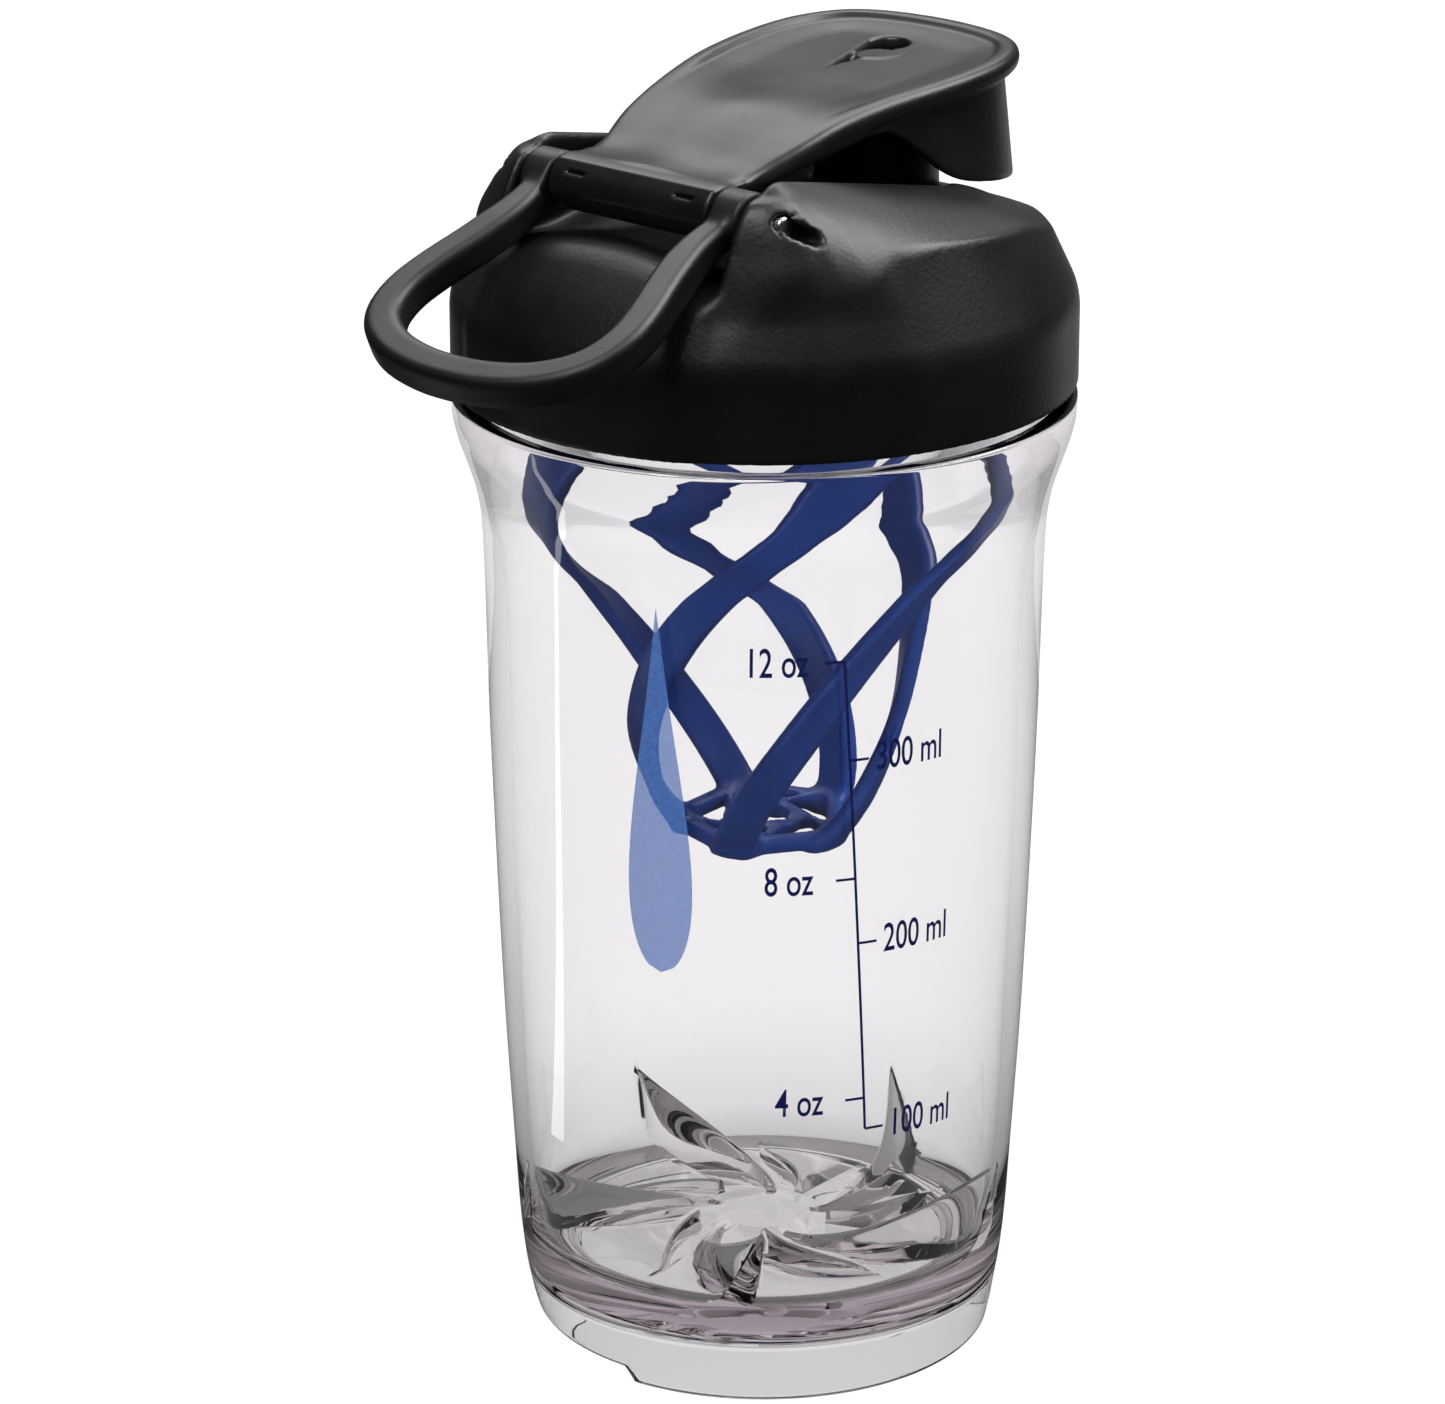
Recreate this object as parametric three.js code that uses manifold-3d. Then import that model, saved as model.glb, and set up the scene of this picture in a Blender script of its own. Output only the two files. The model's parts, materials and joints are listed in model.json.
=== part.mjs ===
// Protein shaker bottle: clear cup, screw lid with a flip cap and a carry loop, mixing cage inside.
// Millimetres, +Z up. The spout points along +X, and the base stands on z = 0.
import * as THREE from 'three';
import { mergeVertices } from 'three/addons/utils/BufferGeometryUtils.js';
import Module from 'manifold-3d';

const wasm = await Module();
wasm.setup();

// ---- driving dimensions ----
const GAP = 0.3;                 // clearance between neighbouring pieces
const SEGMENTS = 48;             // facets round the cup and the lid
const SLIVER = 0.01;             // edges shorter than this are merged away

const LID_RADIUS = 42.5;
const SEAM_Z = 138.6;            // the lid's lower edge
const COLLAR_TOP_Z = 136.9;      // the cup's collar stops short of the lid's edge
const SKIRT_TOP_Z = 150.7;       // crease between the skirt and the sloped dome
const DOME_SLOPE = 0.46;         // how fast the dome narrows above the crease
const CROWN_Z = 172.4;           // top of the shoulders beside the hinge

const FOOT_RADIUS = 32.1;
const RECESS_Z = 8.7;            // hollow under the floor
const FLOOR_Z = 14;
const LEDGE_Z = 130;             // above this the neck's bore is wider
const NECK_TOP_Z = 147.4;
const NECK_RADIUS = 39;
const NECK_BORE = 36.6;
const THREAD_CREST = 40.2;
const THREAD_LEAD = 6;

const HINGE_X = -24.1;           // hinge axis, measured from the cup's axis
const HINGE_Z = 168;
const PIN_RADIUS = 1.5;
const PIN_HOLE = 1.8;
const BARREL_RADIUS = 3.8;
const BARREL_HALF = 13.9;        // half length of the cap's barrel
const KNUCKLE_HALF = 18.9;       // outer face of the loop's knuckles
const RECESS_HALF = 19.3;        // half width of the recess between the shoulders
const PIN_HALF = 24.4;

const SPOUT_X = 23.5;
const SPOUT_RADIUS = 8.6;
const SPOUT_BORE = 6.6;
const SPOUT_TOP_Z = 173;
const DISC_Z = 149.9;            // underside of the insert's disc
const DISC_THICK = 1.5;

const LOOP_DROOP = THREE.MathUtils.degToRad(24);
const LOOP_REACH = 40.3;
const LOOP_WIDE = 5.2;
const LOOP_THICK = 5.0;

const RIB_COUNT = 5;
const RIB_TWIST = 119.4;         // degrees that a rib turns from top to bottom
const RIB_WIDE = 5.5;
const RIB_THICK = 2.2;
const RIB_FIRST = -159;          // direction of the first rib's lower end
const CAGE_TOP_Z = 139.4;        // the ring's upper half sits inside the lid's plug
const CAGE_RING_HIGH = 4;
const PLUG_BOTTOM_Z = 137;
const CAGE_BASE_Z = 74.5;
const CAGE_RADIUS = 33.9;
const HUB_RADIUS = 12;

const FIN_COUNT = 5;
const FIN_FIRST = -139;          // direction of the first fin's tip

const loopTipX = HINGE_X - LOOP_REACH * Math.cos(LOOP_DROOP) - LOOP_WIDE / 2;
const AXIS_X = -(loopTipX + LID_RADIUS) / 2;   // puts the origin under the middle of the whole

// ---- materials ----
const CLEAR = { color: 0xdfe6ea, roughness: 0.06, metalness: 0 };
const BLACK = { color: 0x17181a, roughness: 0.55, metalness: 0 };
const BLUE = { color: 0x16388f, roughness: 0.35, metalness: 0 };
const SEAL = { color: 0x2a2b2e, roughness: 0.8, metalness: 0 };
const STEEL = { color: 0xb9bcc0, roughness: 0.3, metalness: 1 };

// ---- helpers ----
const rad = THREE.MathUtils.degToRad;

function solid(geometry) {
  const plain = geometry.clone();
  plain.deleteAttribute('normal');
  plain.deleteAttribute('uv');
  const merged = mergeVertices(plain, 1e-4);
  const mesh = new wasm.Mesh({
    numProp: 3,
    vertProperties: new Float32Array(merged.attributes.position.array),
    triVerts: new Uint32Array(merged.index.array),
  });
  return new wasm.Manifold(mesh);
}

function geometryOf(body) {
  const { vertProperties, triVerts } = body.simplify(SLIVER).getMesh();
  const geometry = new THREE.BufferGeometry();
  geometry.setAttribute('position', new THREE.BufferAttribute(vertProperties, 3));
  geometry.setIndex(new THREE.BufferAttribute(triVerts, 1));
  geometry.computeVertexNormals();
  return geometry;
}

// A closed profile of [radius, z] pairs, turned about the Z axis.
function lathe(profile, segments = SEGMENTS) {
  const points = profile.map(([radius, z]) => new THREE.Vector2(radius, z));
  points.push(points[0].clone());
  return solid(new THREE.LatheGeometry(points, segments).rotateX(Math.PI / 2));
}

// Moves every vertex of a geometry through a function of its place.
function warp(geometry, place) {
  const position = geometry.attributes.position;
  const point = new THREE.Vector3();
  for (let i = 0; i < position.count; i += 1) {
    point.fromBufferAttribute(position, i);
    const moved = place(point.x, point.y, point.z);
    position.setXYZ(i, moved[0], moved[1], moved[2]);
  }
  return geometry;
}

// A block between x0 and x1, wide in Y, whose top and bottom follow functions of (x, y).
function block(x0, x1, halfWidth, bottom, top, nx = 24, ny = 8) {
  const box = new THREE.BoxGeometry(1, 1, 1, nx, ny, 1);
  return solid(warp(box, (u, v, w) => {
    const x = x0 + (u + 0.5) * (x1 - x0);
    const y = 2 * v * halfWidth;
    return [x, y, w < 0 ? bottom(x, y) : top(x, y)];
  }));
}

function cylinderY(radius, y0, y1, x, z, segments = 16) {
  const cylinder = new THREE.CylinderGeometry(radius, radius, y1 - y0, segments);
  return solid(cylinder.translate(x, (y0 + y1) / 2, z));
}

function cylinderZ(radius, z0, z1, x = 0, y = 0, segments = 24) {
  const cylinder = new THREE.CylinderGeometry(radius, radius, z1 - z0, segments).rotateX(Math.PI / 2);
  return solid(cylinder.translate(x, y, (z0 + z1) / 2));
}

// Straight lines through [x, value] pairs, read at any x.
function curveThrough(pairs) {
  return (x) => {
    if (x <= pairs[0][0]) return pairs[0][1];
    const last = pairs.length - 1;
    if (x >= pairs[last][0]) return pairs[last][1];
    const i = pairs.findIndex(([px]) => px > x) - 1;
    const [x0, v0] = pairs[i];
    const [x1, v1] = pairs[i + 1];
    return v0 + (v1 - v0) * (x - x0) / (x1 - x0);
  };
}

// ---- cup ----
const bodyOuter = [
  [FOOT_RADIUS, 0], [32.8, 3.2], [34.4, 15], [35.1, 26], [36.3, 47], [37.2, 70], [37.9, 92],
  [38.4, 117], [38.9, 123], [39.8, 126.6], [41.1, 129.8], [42.1, 133], [42.5, COLLAR_TOP_Z - 0.8],
  [42.3, COLLAR_TOP_Z],
];
const neckOuter = [
  [NECK_RADIUS + 1.4, COLLAR_TOP_Z], [NECK_RADIUS, COLLAR_TOP_Z + 1.7], [NECK_RADIUS, NECK_TOP_Z - 0.6],
  [NECK_RADIUS - 0.6, NECK_TOP_Z],
];
const innerWall = [
  [NECK_BORE, NECK_TOP_Z], [NECK_BORE, LEDGE_Z + 2], [36.1, LEDGE_Z - 2], [35.6, LEDGE_Z - 6], [35.3, 110],
  [34.3, 65], [32.6, 24], [32.0, FLOOR_Z + 4], [30.8, FLOOR_Z + 1.2], [27.5, FLOOR_Z],
];
const floorAndRecess = [
  [9, FLOOR_Z + 0.6], [0, FLOOR_Z + 2.4], [0, RECESS_Z], [28.4, RECESS_Z], [29.6, RECESS_Z - 1.2], [29.6, 0],
];

// A raised rib of trapezoid section that climbs a cylinder: radius root to crest, from angle a0 to a1.
function threadRidge(root, crest, zStart, a0, a1, lead, height, steps) {
  const box = new THREE.BoxGeometry(1, 1, 1, steps, 1, 1);
  return solid(warp(box, (u, v, w) => {
    const angle = a0 + (u + 0.5) * (a1 - a0);
    const atCrest = v > 0;
    const radius = atCrest ? crest : root;
    const half = atCrest ? height * 0.22 : height * 0.5;
    const facing = crest < root ? 1 : -1;      // keeps the faces pointing out
    const z = zStart + lead * angle / (2 * Math.PI) + 2 * w * half * facing;
    return [radius * Math.sin(angle), -radius * Math.cos(angle), z];
  }));
}

// A swirl fin: low near the middle of the floor, rising outward to a tip beside the wall. Its foot is wide
// and lies to one side of its crest.
function floorFin(tipAngle) {
  const box = new THREE.BoxGeometry(1, 1, 1, 7, 1, 1);
  return solid(warp(box, (u, v, w) => {
    const t = u + 0.5;
    const radius = 9 + 24.6 * t;
    const angle = rad(tipAngle - 42 * (1 - t) ** 1.3);
    const top = FLOOR_Z + 0.8 + 12.5 * t ** 1.8;
    const atCrest = w > 0;
    const side = (atCrest ? v * 1.2 : v * 6.2 - 3.4 * t) / radius;
    const z = atCrest ? top : FLOOR_Z - 1;
    return [radius * Math.cos(angle + side), radius * Math.sin(angle + side), z];
  }));
}

function makeCup() {
  let cup = lathe([...bodyOuter, ...neckOuter, ...innerWall, ...floorAndRecess]);
  for (const start of [0, Math.PI]) {
    cup = cup.add(threadRidge(NECK_RADIUS - 0.4, THREAD_CREST, 141.2, start, start + 3.6, THREAD_LEAD, 2.2, 12)
      .translate([0, 0, -THREAD_LEAD * start / (2 * Math.PI)]));
  }
  for (let i = 0; i < FIN_COUNT; i += 1) {
    cup = cup.add(floorFin(FIN_FIRST + 360 * i / FIN_COUNT));
  }
  return cup;
}

// ---- lid ----
// height of the shoulders' crest along the lid, rounded down past the spout
const ridge = (x) => 168.5 - 0.215 * x - 2.6 * THREE.MathUtils.smoothstep(x, 18, 31);
const crownFall = curveThrough([[-24, 0.016], [-13, 0.012], [0, 0.0066], [40, 0.0066]]);
const shoulderTop = (x, y) => ridge(x) - crownFall(x) * Math.max(0, y * y - 400);
const platform = curveThrough([
  [-43, 150.2], [-42, 152.2], [-40.8, 154.2], [-37, 157.8], [-34, 160.2], [-31, 161.9], [-28, 162.4], [34, 161],
]);
const platformFall = curveThrough([[-42, 0], [-36, 0.008], [-28, 0.009], [-12, 0]]);
const recessFloor = (x, y) => platform(x) - platformFall(x) * y * y;
const shoulderFront = curveThrough([
  [-44, 150], [-40.5, 152.6], [-38, 155], [-35.4, 157.5], [-33.4, 160],
  [-31.8, 163], [-30.4, 166.7], [-28.6, 169.3], [-26.4, 170.8], [-23.5, 172], [45, 176],
]);

function domeRadius(z) {
  return LID_RADIUS - DOME_SLOPE * (z - SKIRT_TOP_Z);
}

function makeLidShell() {
  const dome = lathe([
    [LID_RADIUS, SEAM_Z], [LID_RADIUS, SKIRT_TOP_Z], [domeRadius(168), 168], [33.2, 170.2],
    [30.8, 171.8], [27.5, CROWN_Z], [0, CROWN_Z + 0.4], [0, SEAM_Z],
  ]);
  const under = () => SEAM_Z - 1;
  const above = () => 185;
  let lid = dome.intersect(block(-45, 45, 46, under, shoulderTop, 44, 14));
  const earsOnly = block(-46, -21, 46, shoulderFront, above, 25, 1);
  lid = lid.subtract(earsOnly.subtract(block(-47, -20, RECESS_HALF, under, above, 1, 1)));
  lid = lid.subtract(block(-46, 17, RECESS_HALF, recessFloor, above, 31, 6));
  lid = lid.subtract(block(16, 34.5, 17, recessFloor, above, 4, 1));
  lid = lid.add(cylinderZ(SPOUT_RADIUS, 157.5, SPOUT_TOP_Z, SPOUT_X));
  const cavity = lathe([
    [41, SEAM_Z - 1], [41, 149.6], [40, 151.7], [37.4, 156.8], [0, 156.8], [0, SEAM_Z - 1],
  ]);
  const innerTop = (x) => Math.max(151.7, Math.min(platform(x) - 3, shoulderFront(x)) - 2.4);
  const hingeWall = block(-45, -24, 46, innerTop, above, 21, 1);
  lid = lid.subtract(cavity.subtract(hingeWall));
  lid = lid.add(cylinderZ(SPOUT_RADIUS, DISC_Z + DISC_THICK + GAP, 159, SPOUT_X));
  lid = lid.subtract(cylinderZ(SPOUT_BORE, DISC_Z, 175, SPOUT_X));
  lid = lid.subtract(cylinderY(PIN_HOLE, -46, 46, HINGE_X, HINGE_Z));
  for (const start of [0, Math.PI]) {
    lid = lid.add(threadRidge(41.3, THREAD_CREST + 1.5 * GAP, 143.4, start, start + 3.2, THREAD_LEAD, 2, 16)
      .translate([0, 0, -THREAD_LEAD * start / (2 * Math.PI)]));
  }
  return lid;
}

function makeLidInsert() {
  const top = DISC_Z + DISC_THICK;
  const insert = lathe([
    [39.6, DISC_Z], [39.6, top], [0, top], [0, DISC_Z], [34.4, DISC_Z], [34.4, PLUG_BOTTOM_Z],
    [36.2, PLUG_BOTTOM_Z], [36.2, DISC_Z],
  ]);
  return insert.subtract(cylinderZ(SPOUT_BORE, DISC_Z - 1, top + 1, SPOUT_X));
}

function makeGasket() {
  const low = NECK_TOP_Z + GAP;
  const high = DISC_Z - GAP;
  return lathe([[39, low], [39.2, low + 0.3], [39.2, high - 0.3], [39, high], [36.6, high], [36.6, low]], 48);
}

// ---- flip cap ----
const capHalf = [
  [-24, 13.4], [-19, 13.5], [-13, 15.6], [-7, 16.9], [0, 18.0], [8, 19.6], [16, 20.5],
  [23, 20.6], [28, 19.7], [32, 17.9], [35, 15.5], [37.3, 11.6], [38.4, 7],
];
const CAP_TIP_X = 39;
const capTop = curveThrough([
  [-28, 170], [-24, 171.8], [-21, 171.2], [-19, 171.3], [-16, 172.7], [-13, 174], [-10, 175.1], [-4, 176.9],
  [2, 178.1], [8, 178.9], [17, 179.6], [26, 180.2], [35, 181.1], [40, 181.5],
]);
const capLow = curveThrough([
  [-28, 168.5], [-21, 169.6], [-17, 170.5], [-11, 172], [-3, 173.4], [4, 174], [8, 173.4], [12.8, 170.8],
  [17, 167.2], [21, 165.2], [25, 164], [33, 162.2], [40, 160.9],
]);

function capPlan(inset) {
  const shape = new THREE.Shape();
  const tip = new THREE.Vector2(CAP_TIP_X - inset, 0);
  const right = capHalf.map(([x, y]) => new THREE.Vector2(Math.min(x, x + (inset * (24 - x)) / 30), y - inset));
  const left = right.map((p) => new THREE.Vector2(p.x, -p.y)).reverse();
  shape.moveTo(left[left.length - 1].x, left[left.length - 1].y);
  shape.lineTo(right[0].x, right[0].y);
  shape.splineThru([...right.slice(1), tip, ...left.slice(0, -1)]);
  shape.lineTo(left[left.length - 1].x, left[left.length - 1].y);
  const extrude = new THREE.ExtrudeGeometry(shape, { depth: 40, bevelEnabled: false, curveSegments: 3 });
  return solid(extrude.translate(0, 0, 150));
}

function makeFlipCap() {
  const outer = capPlan(0);
  const topped = block(-24.2, 42, 24, (x) => capLow(x), (x) => capTop(x), 60, 1);
  let cap = outer.intersect(topped);
  const cavity = block(-18, 42, 24, () => 150, (x) => capTop(x) - 2.6, 48, 1);
  cap = cap.subtract(capPlan(2.0).intersect(cavity));
  cap = cap.add(cylinderY(BARREL_RADIUS, -BARREL_HALF, BARREL_HALF, HINGE_X, HINGE_Z, 20));
  cap = cap.add(block(-24.1, -16.5, 13.4, (x) => 168 + 0.25 * (x + 24.1), (x) => capTop(x) - 0.4, 6, 1));
  cap = cap.add(cylinderZ(3, SPOUT_TOP_Z + 3.6, 178.6, SPOUT_X));
  return cap.subtract(cylinderY(PIN_HOLE, -20, 20, HINGE_X, HINGE_Z));
}

function makeSpoutSeal() {
  const lip = SPOUT_TOP_Z + GAP;
  const seal = lathe([
    [5.4, lip - 1.8], [6, lip - 1.2], [6.1, lip], [8.2, lip], [8.2, lip + 1.5], [6.8, lip + 2.9], [0, lip + 2.9],
    [0, lip - 1.8],
  ], 28);
  return seal.translate([SPOUT_X, 0, 0]);
}

// ---- carry loop ----
function makeCarryLoop() {
  const half = [
    [1.5, 16], [8, 15.3], [15.5, 16.7], [22.5, 18.8], [28.5, 19.6], [34.3, 17.8], [38.5, 12.4], [LOOP_REACH, 5.5],
  ];
  const place = ([reach, y]) => new THREE.Vector3(
    HINGE_X - reach * Math.cos(LOOP_DROOP), y, HINGE_Z - reach * Math.sin(LOOP_DROOP));
  const points = [...half.map(place), ...half.map(([r, y]) => place([r, -y])).reverse()];
  const path = new THREE.CatmullRomCurve3(points, false, 'centripetal');
  const section = new THREE.Shape();
  const corner = 1.5;
  const w = LOOP_THICK / 2;
  const h = LOOP_WIDE / 2;
  for (const [i, [x, y]] of [[w, h - corner], [w - corner, h], [corner - w, h], [-w, h - corner],
    [-w, corner - h], [corner - w, -h], [w - corner, -h], [w, corner - h]].entries()) {
    if (i === 0) section.moveTo(x, y);
    else section.lineTo(x, y);
  }
  let loop = solid(new THREE.ExtrudeGeometry(section, { steps: 44, extrudePath: path, bevelEnabled: false }));
  for (const side of [-1, 1]) {
    const inner = side * (BARREL_HALF + GAP);
    const outer = side * KNUCKLE_HALF;
    loop = loop.add(cylinderY(3.7, Math.min(inner, outer), Math.max(inner, outer), HINGE_X, HINGE_Z, 20));
  }
  const keep = cylinderY(5, -(BARREL_HALF + GAP), BARREL_HALF + GAP, HINGE_X, HINGE_Z, 20);
  loop = loop.subtract(keep);
  return loop.subtract(cylinderY(PIN_HOLE, -30, 30, HINGE_X, HINGE_Z));
}

function makePin() {
  return cylinderY(PIN_RADIUS, -PIN_HALF, PIN_HALF, HINGE_X, HINGE_Z);
}

// ---- mixing cage ----
const ribRadius = curveThrough([
  [75, HUB_RADIUS], [80, 14.9], [85, 16.8], [91, 18.7], [98.4, 20.5], [106.5, 23], [115.5, 26.5], [125, 30.6],
  [131, 32.2], [136, CAGE_RADIUS - 1.3],
]);

function cageRib(index) {
  const box = new THREE.BoxGeometry(1, 1, 1, 18, 1, 1);
  const centre = (t) => {
    const angle = rad(RIB_FIRST + 360 * index / RIB_COUNT + RIB_TWIST * (1 - t));
    const z = CAGE_TOP_Z - 1 + (CAGE_BASE_Z + 0.6 - CAGE_TOP_Z + 1) * t;
    const radius = ribRadius(z);
    return new THREE.Vector3(radius * Math.cos(angle), radius * Math.sin(angle), z);
  };
  return solid(warp(box, (u, v, w) => {
    const t = u + 0.5;
    const here = centre(t);
    const along = centre(Math.min(t + 0.01, 1)).sub(centre(Math.max(t - 0.01, 0))).normalize();
    const out = new THREE.Vector3(here.x, here.y, 0).normalize();
    const across = new THREE.Vector3().crossVectors(out, along).normalize();
    const normal = new THREE.Vector3().crossVectors(along, across);
    const moved = here.addScaledVector(across, v * RIB_WIDE).addScaledVector(normal, w * RIB_THICK);
    return [moved.x, moved.y, moved.z];
  }));
}

function makeAgitator() {
  const ring = (inner, outer, z0, z1, segments) => (
    lathe([[outer, z0], [outer, z1], [inner, z1], [inner, z0]], segments));
  let cage = ring(CAGE_RADIUS - 2.4, CAGE_RADIUS, CAGE_TOP_Z - CAGE_RING_HIGH, CAGE_TOP_Z, SEGMENTS);
  for (let i = 0; i < RIB_COUNT; i += 1) cage = cage.add(cageRib(i));
  cage = cage.add(ring(HUB_RADIUS - 1.9, HUB_RADIUS + 0.9, CAGE_BASE_Z - 1.1, CAGE_BASE_Z + 1.1, 30));
  cage = cage.add(ring(3.2, 5.6, CAGE_BASE_Z - 0.9, CAGE_BASE_Z + 0.9, 20));
  for (let i = 0; i < RIB_COUNT; i += 1) {
    const spoke = new THREE.BoxGeometry(6, 2, 1.6).translate(7.8, 0, CAGE_BASE_Z);
    cage = cage.add(solid(spoke.rotateZ(rad(RIB_FIRST + 18 + 360 * i / RIB_COUNT))));
  }
  return cage;
}

// ---- assembly ----
const bottle = new THREE.Group();
bottle.position.x = AXIS_X;

function addPart(name, body, look) {
  const mesh = new THREE.Mesh(geometryOf(body), new THREE.MeshStandardMaterial(look));
  mesh.name = name;
  bottle.add(mesh);
}

addPart('cup', makeCup(), CLEAR);
addPart('lid_shell', makeLidShell(), BLACK);
addPart('lid_insert', makeLidInsert(), BLACK);
addPart('lid_gasket', makeGasket(), SEAL);
addPart('flip_cap', makeFlipCap(), BLACK);
addPart('spout_seal', makeSpoutSeal(), SEAL);
addPart('hinge_pin', makePin(), STEEL);
addPart('carry_loop', makeCarryLoop(), BLACK);
addPart('agitator', makeAgitator(), BLUE);

export default bottle;
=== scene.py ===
"""A clear shaker bottle: black screw lid with a flip cap and a carry loop, blue mixing cage inside.

Every shape is written in millimetres from the cup's axis, with the spout along +X and z = 0 under
the foot. place() turns that into the frame's metres.
"""
import json
import math

import bmesh
import bpy
import numpy as np
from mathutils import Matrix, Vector


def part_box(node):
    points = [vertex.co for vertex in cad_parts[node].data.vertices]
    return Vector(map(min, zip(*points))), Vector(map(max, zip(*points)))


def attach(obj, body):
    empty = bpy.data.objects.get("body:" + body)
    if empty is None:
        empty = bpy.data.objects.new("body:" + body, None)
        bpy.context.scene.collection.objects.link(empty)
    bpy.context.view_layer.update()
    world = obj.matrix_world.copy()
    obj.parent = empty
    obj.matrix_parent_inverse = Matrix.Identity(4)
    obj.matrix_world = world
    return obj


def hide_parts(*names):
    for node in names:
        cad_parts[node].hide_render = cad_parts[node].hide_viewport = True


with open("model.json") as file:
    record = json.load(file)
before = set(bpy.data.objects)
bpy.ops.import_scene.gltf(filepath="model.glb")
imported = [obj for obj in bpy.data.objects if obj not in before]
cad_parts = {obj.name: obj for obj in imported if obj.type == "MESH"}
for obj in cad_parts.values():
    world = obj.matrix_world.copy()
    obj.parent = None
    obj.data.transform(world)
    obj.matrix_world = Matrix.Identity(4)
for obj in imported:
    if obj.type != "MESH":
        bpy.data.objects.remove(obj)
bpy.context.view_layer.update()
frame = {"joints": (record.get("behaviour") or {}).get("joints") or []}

MM = 0.001
JOINTS = {joint["name"]: joint for joint in frame["joints"]}

# ---- places read from the frame ----
CUP_LOW, CUP_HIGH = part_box("cup")
LID_LOW, LID_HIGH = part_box("lid_shell")
PIN_LOW, PIN_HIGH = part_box("hinge_pin")
SEAL_LOW, SEAL_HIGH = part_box("spout_seal")
AXIS_X = (CUP_LOW.x + CUP_HIGH.x) / 2                # the cup's axis, in metres
HINGE_X = JOINTS["cap_hinge"]["pos_m"][0] / MM - AXIS_X / MM
HINGE_Z = JOINTS["cap_hinge"]["pos_m"][2] / MM
LID_RADIUS = (LID_HIGH.y - LID_LOW.y) / 2 / MM
SEAM_Z = LID_LOW.z / MM
NECK_TOP_Z = CUP_HIGH.z / MM
PIN_HALF = PIN_HIGH.y / MM
PIN_RADIUS = (PIN_HIGH.z - PIN_LOW.z) / 2 / MM
SPOUT_X = (SEAL_LOW.x + SEAL_HIGH.x) / 2 / MM - AXIS_X / MM

# ---- driving dimensions, millimetres ----
GAP = 0.3                                            # clearance between parts that move on each other
HINGE_HOLE = 1.75
PIN_SEEN = PIN_HALF - 0.05                           # where the pin's domed ends stop, inside their slots
SKIRT_TOP_Z = 150.7
BAND_SLOPE = 0.47
FOOT_RADIUS = 32.1
RECESS_Z = 8.7
FLOOR_Z = 14.0
FIN_PAIRS = 5
LEDGE_Z = 130.0                                      # above this the neck's bore is wider
COLLAR_TOP_Z = 136.9                                 # the collar stops short of the lid's lower edge
NECK_RADIUS = 39.0
NECK_BORE = 36.6
CAP_THICK = 3.0
BARREL_RADIUS = 3.8
BARREL_HALF = 13.9
KNUCKLE_HALF = 18.9
RECESS_HALF = 19.3
SLOT_LONG = 2.2                                      # the oblong hole in each ear that shows the pin's end
SLOT_HALF = 1.05
SPOUT_RADIUS = 8.6
SPOUT_BORE = 6.6
SPOUT_TOP_Z = 173.0
DISC_Z = 149.9
PLUG_BOTTOM_Z = 137.0
LOOP_DROOP = math.radians(24)
VIEW_AZIMUTH = 311                                   # where the main camera stands, in degrees


# ---- small mathematics ----
def curve_through(pairs, samples=600):
    """A smooth curve through (x, value) pairs that doesn't overshoot, as a fast function of x."""
    x, v = np.array(pairs, float).T
    step = np.diff(x)
    slope = np.diff(v) / step
    tangent = np.empty_like(v)
    tangent[0], tangent[-1] = slope[0], slope[-1]
    same = slope[:-1] * slope[1:] > 0
    mean = 2 * slope[:-1] * slope[1:] / np.where(same, slope[:-1] + slope[1:], 1)
    tangent[1:-1] = np.where(same, mean, 0)
    fine = np.linspace(x[0], x[-1], samples)
    i = np.clip(np.searchsorted(x, fine, side="right") - 1, 0, len(step) - 1)
    t = (fine - x[i]) / step[i]
    value = ((1 + 2 * t) * (1 - t) ** 2 * v[i] + t * (1 - t) ** 2 * step[i] * tangent[i]
             + t * t * (3 - 2 * t) * v[i + 1] + t * t * (t - 1) * step[i] * tangent[i + 1])
    return lambda at: np.interp(at, fine, value)


def smooth_step(low, high, x):
    t = np.clip((x - low) / (high - low), 0, 1)
    return t * t * (3 - 2 * t)


def smooth_max(a, b, k):
    """The larger of two fields, with the corner between them rounded over about k."""
    h = np.clip(0.5 + 0.5 * (a - b) / k, 0, 1)
    return b + (a - b) * h + k * h * (1 - h)


def smooth_min(a, b, k):
    return -smooth_max(-a, -b, k)


def rounded_box(a, b, half_a, half_b, corner):
    """Signed distance to a rounded rectangle in the plane (a, b)."""
    qa = np.abs(a) - (half_a - corner)
    qb = np.abs(b) - (half_b - corner)
    outside = np.hypot(np.maximum(qa, 0), np.maximum(qb, 0))
    return outside + np.minimum(np.maximum(qa, qb), 0) - corner


def path_distance(x, y, points):
    """Distance in the plane from (x, y) to a run of straight pieces through the points."""
    best = None
    for (x0, y0), (x1, y1) in zip(points[:-1], points[1:]):
        dx, dy = x1 - x0, y1 - y0
        t = np.clip(((x - x0) * dx + (y - y0) * dy) / (dx * dx + dy * dy), 0, 1)
        squared = (x - x0 - t * dx) ** 2 + (y - y0 - t * dy) ** 2
        best = squared if best is None else np.minimum(best, squared)
    return np.sqrt(best)


def place(points):
    """Millimetres from the cup's axis to metres in the frame."""
    return np.asarray(points, float) * MM + np.array([AXIS_X, 0, 0])


# ---- meshes ----
def mesh_from(name, points, faces):
    mesh = bpy.data.meshes.new(name)
    mesh.from_pydata(place(points).tolist(), [], [list(face) for face in faces])
    mesh.validate()
    mesh.update()
    return mesh


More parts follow.
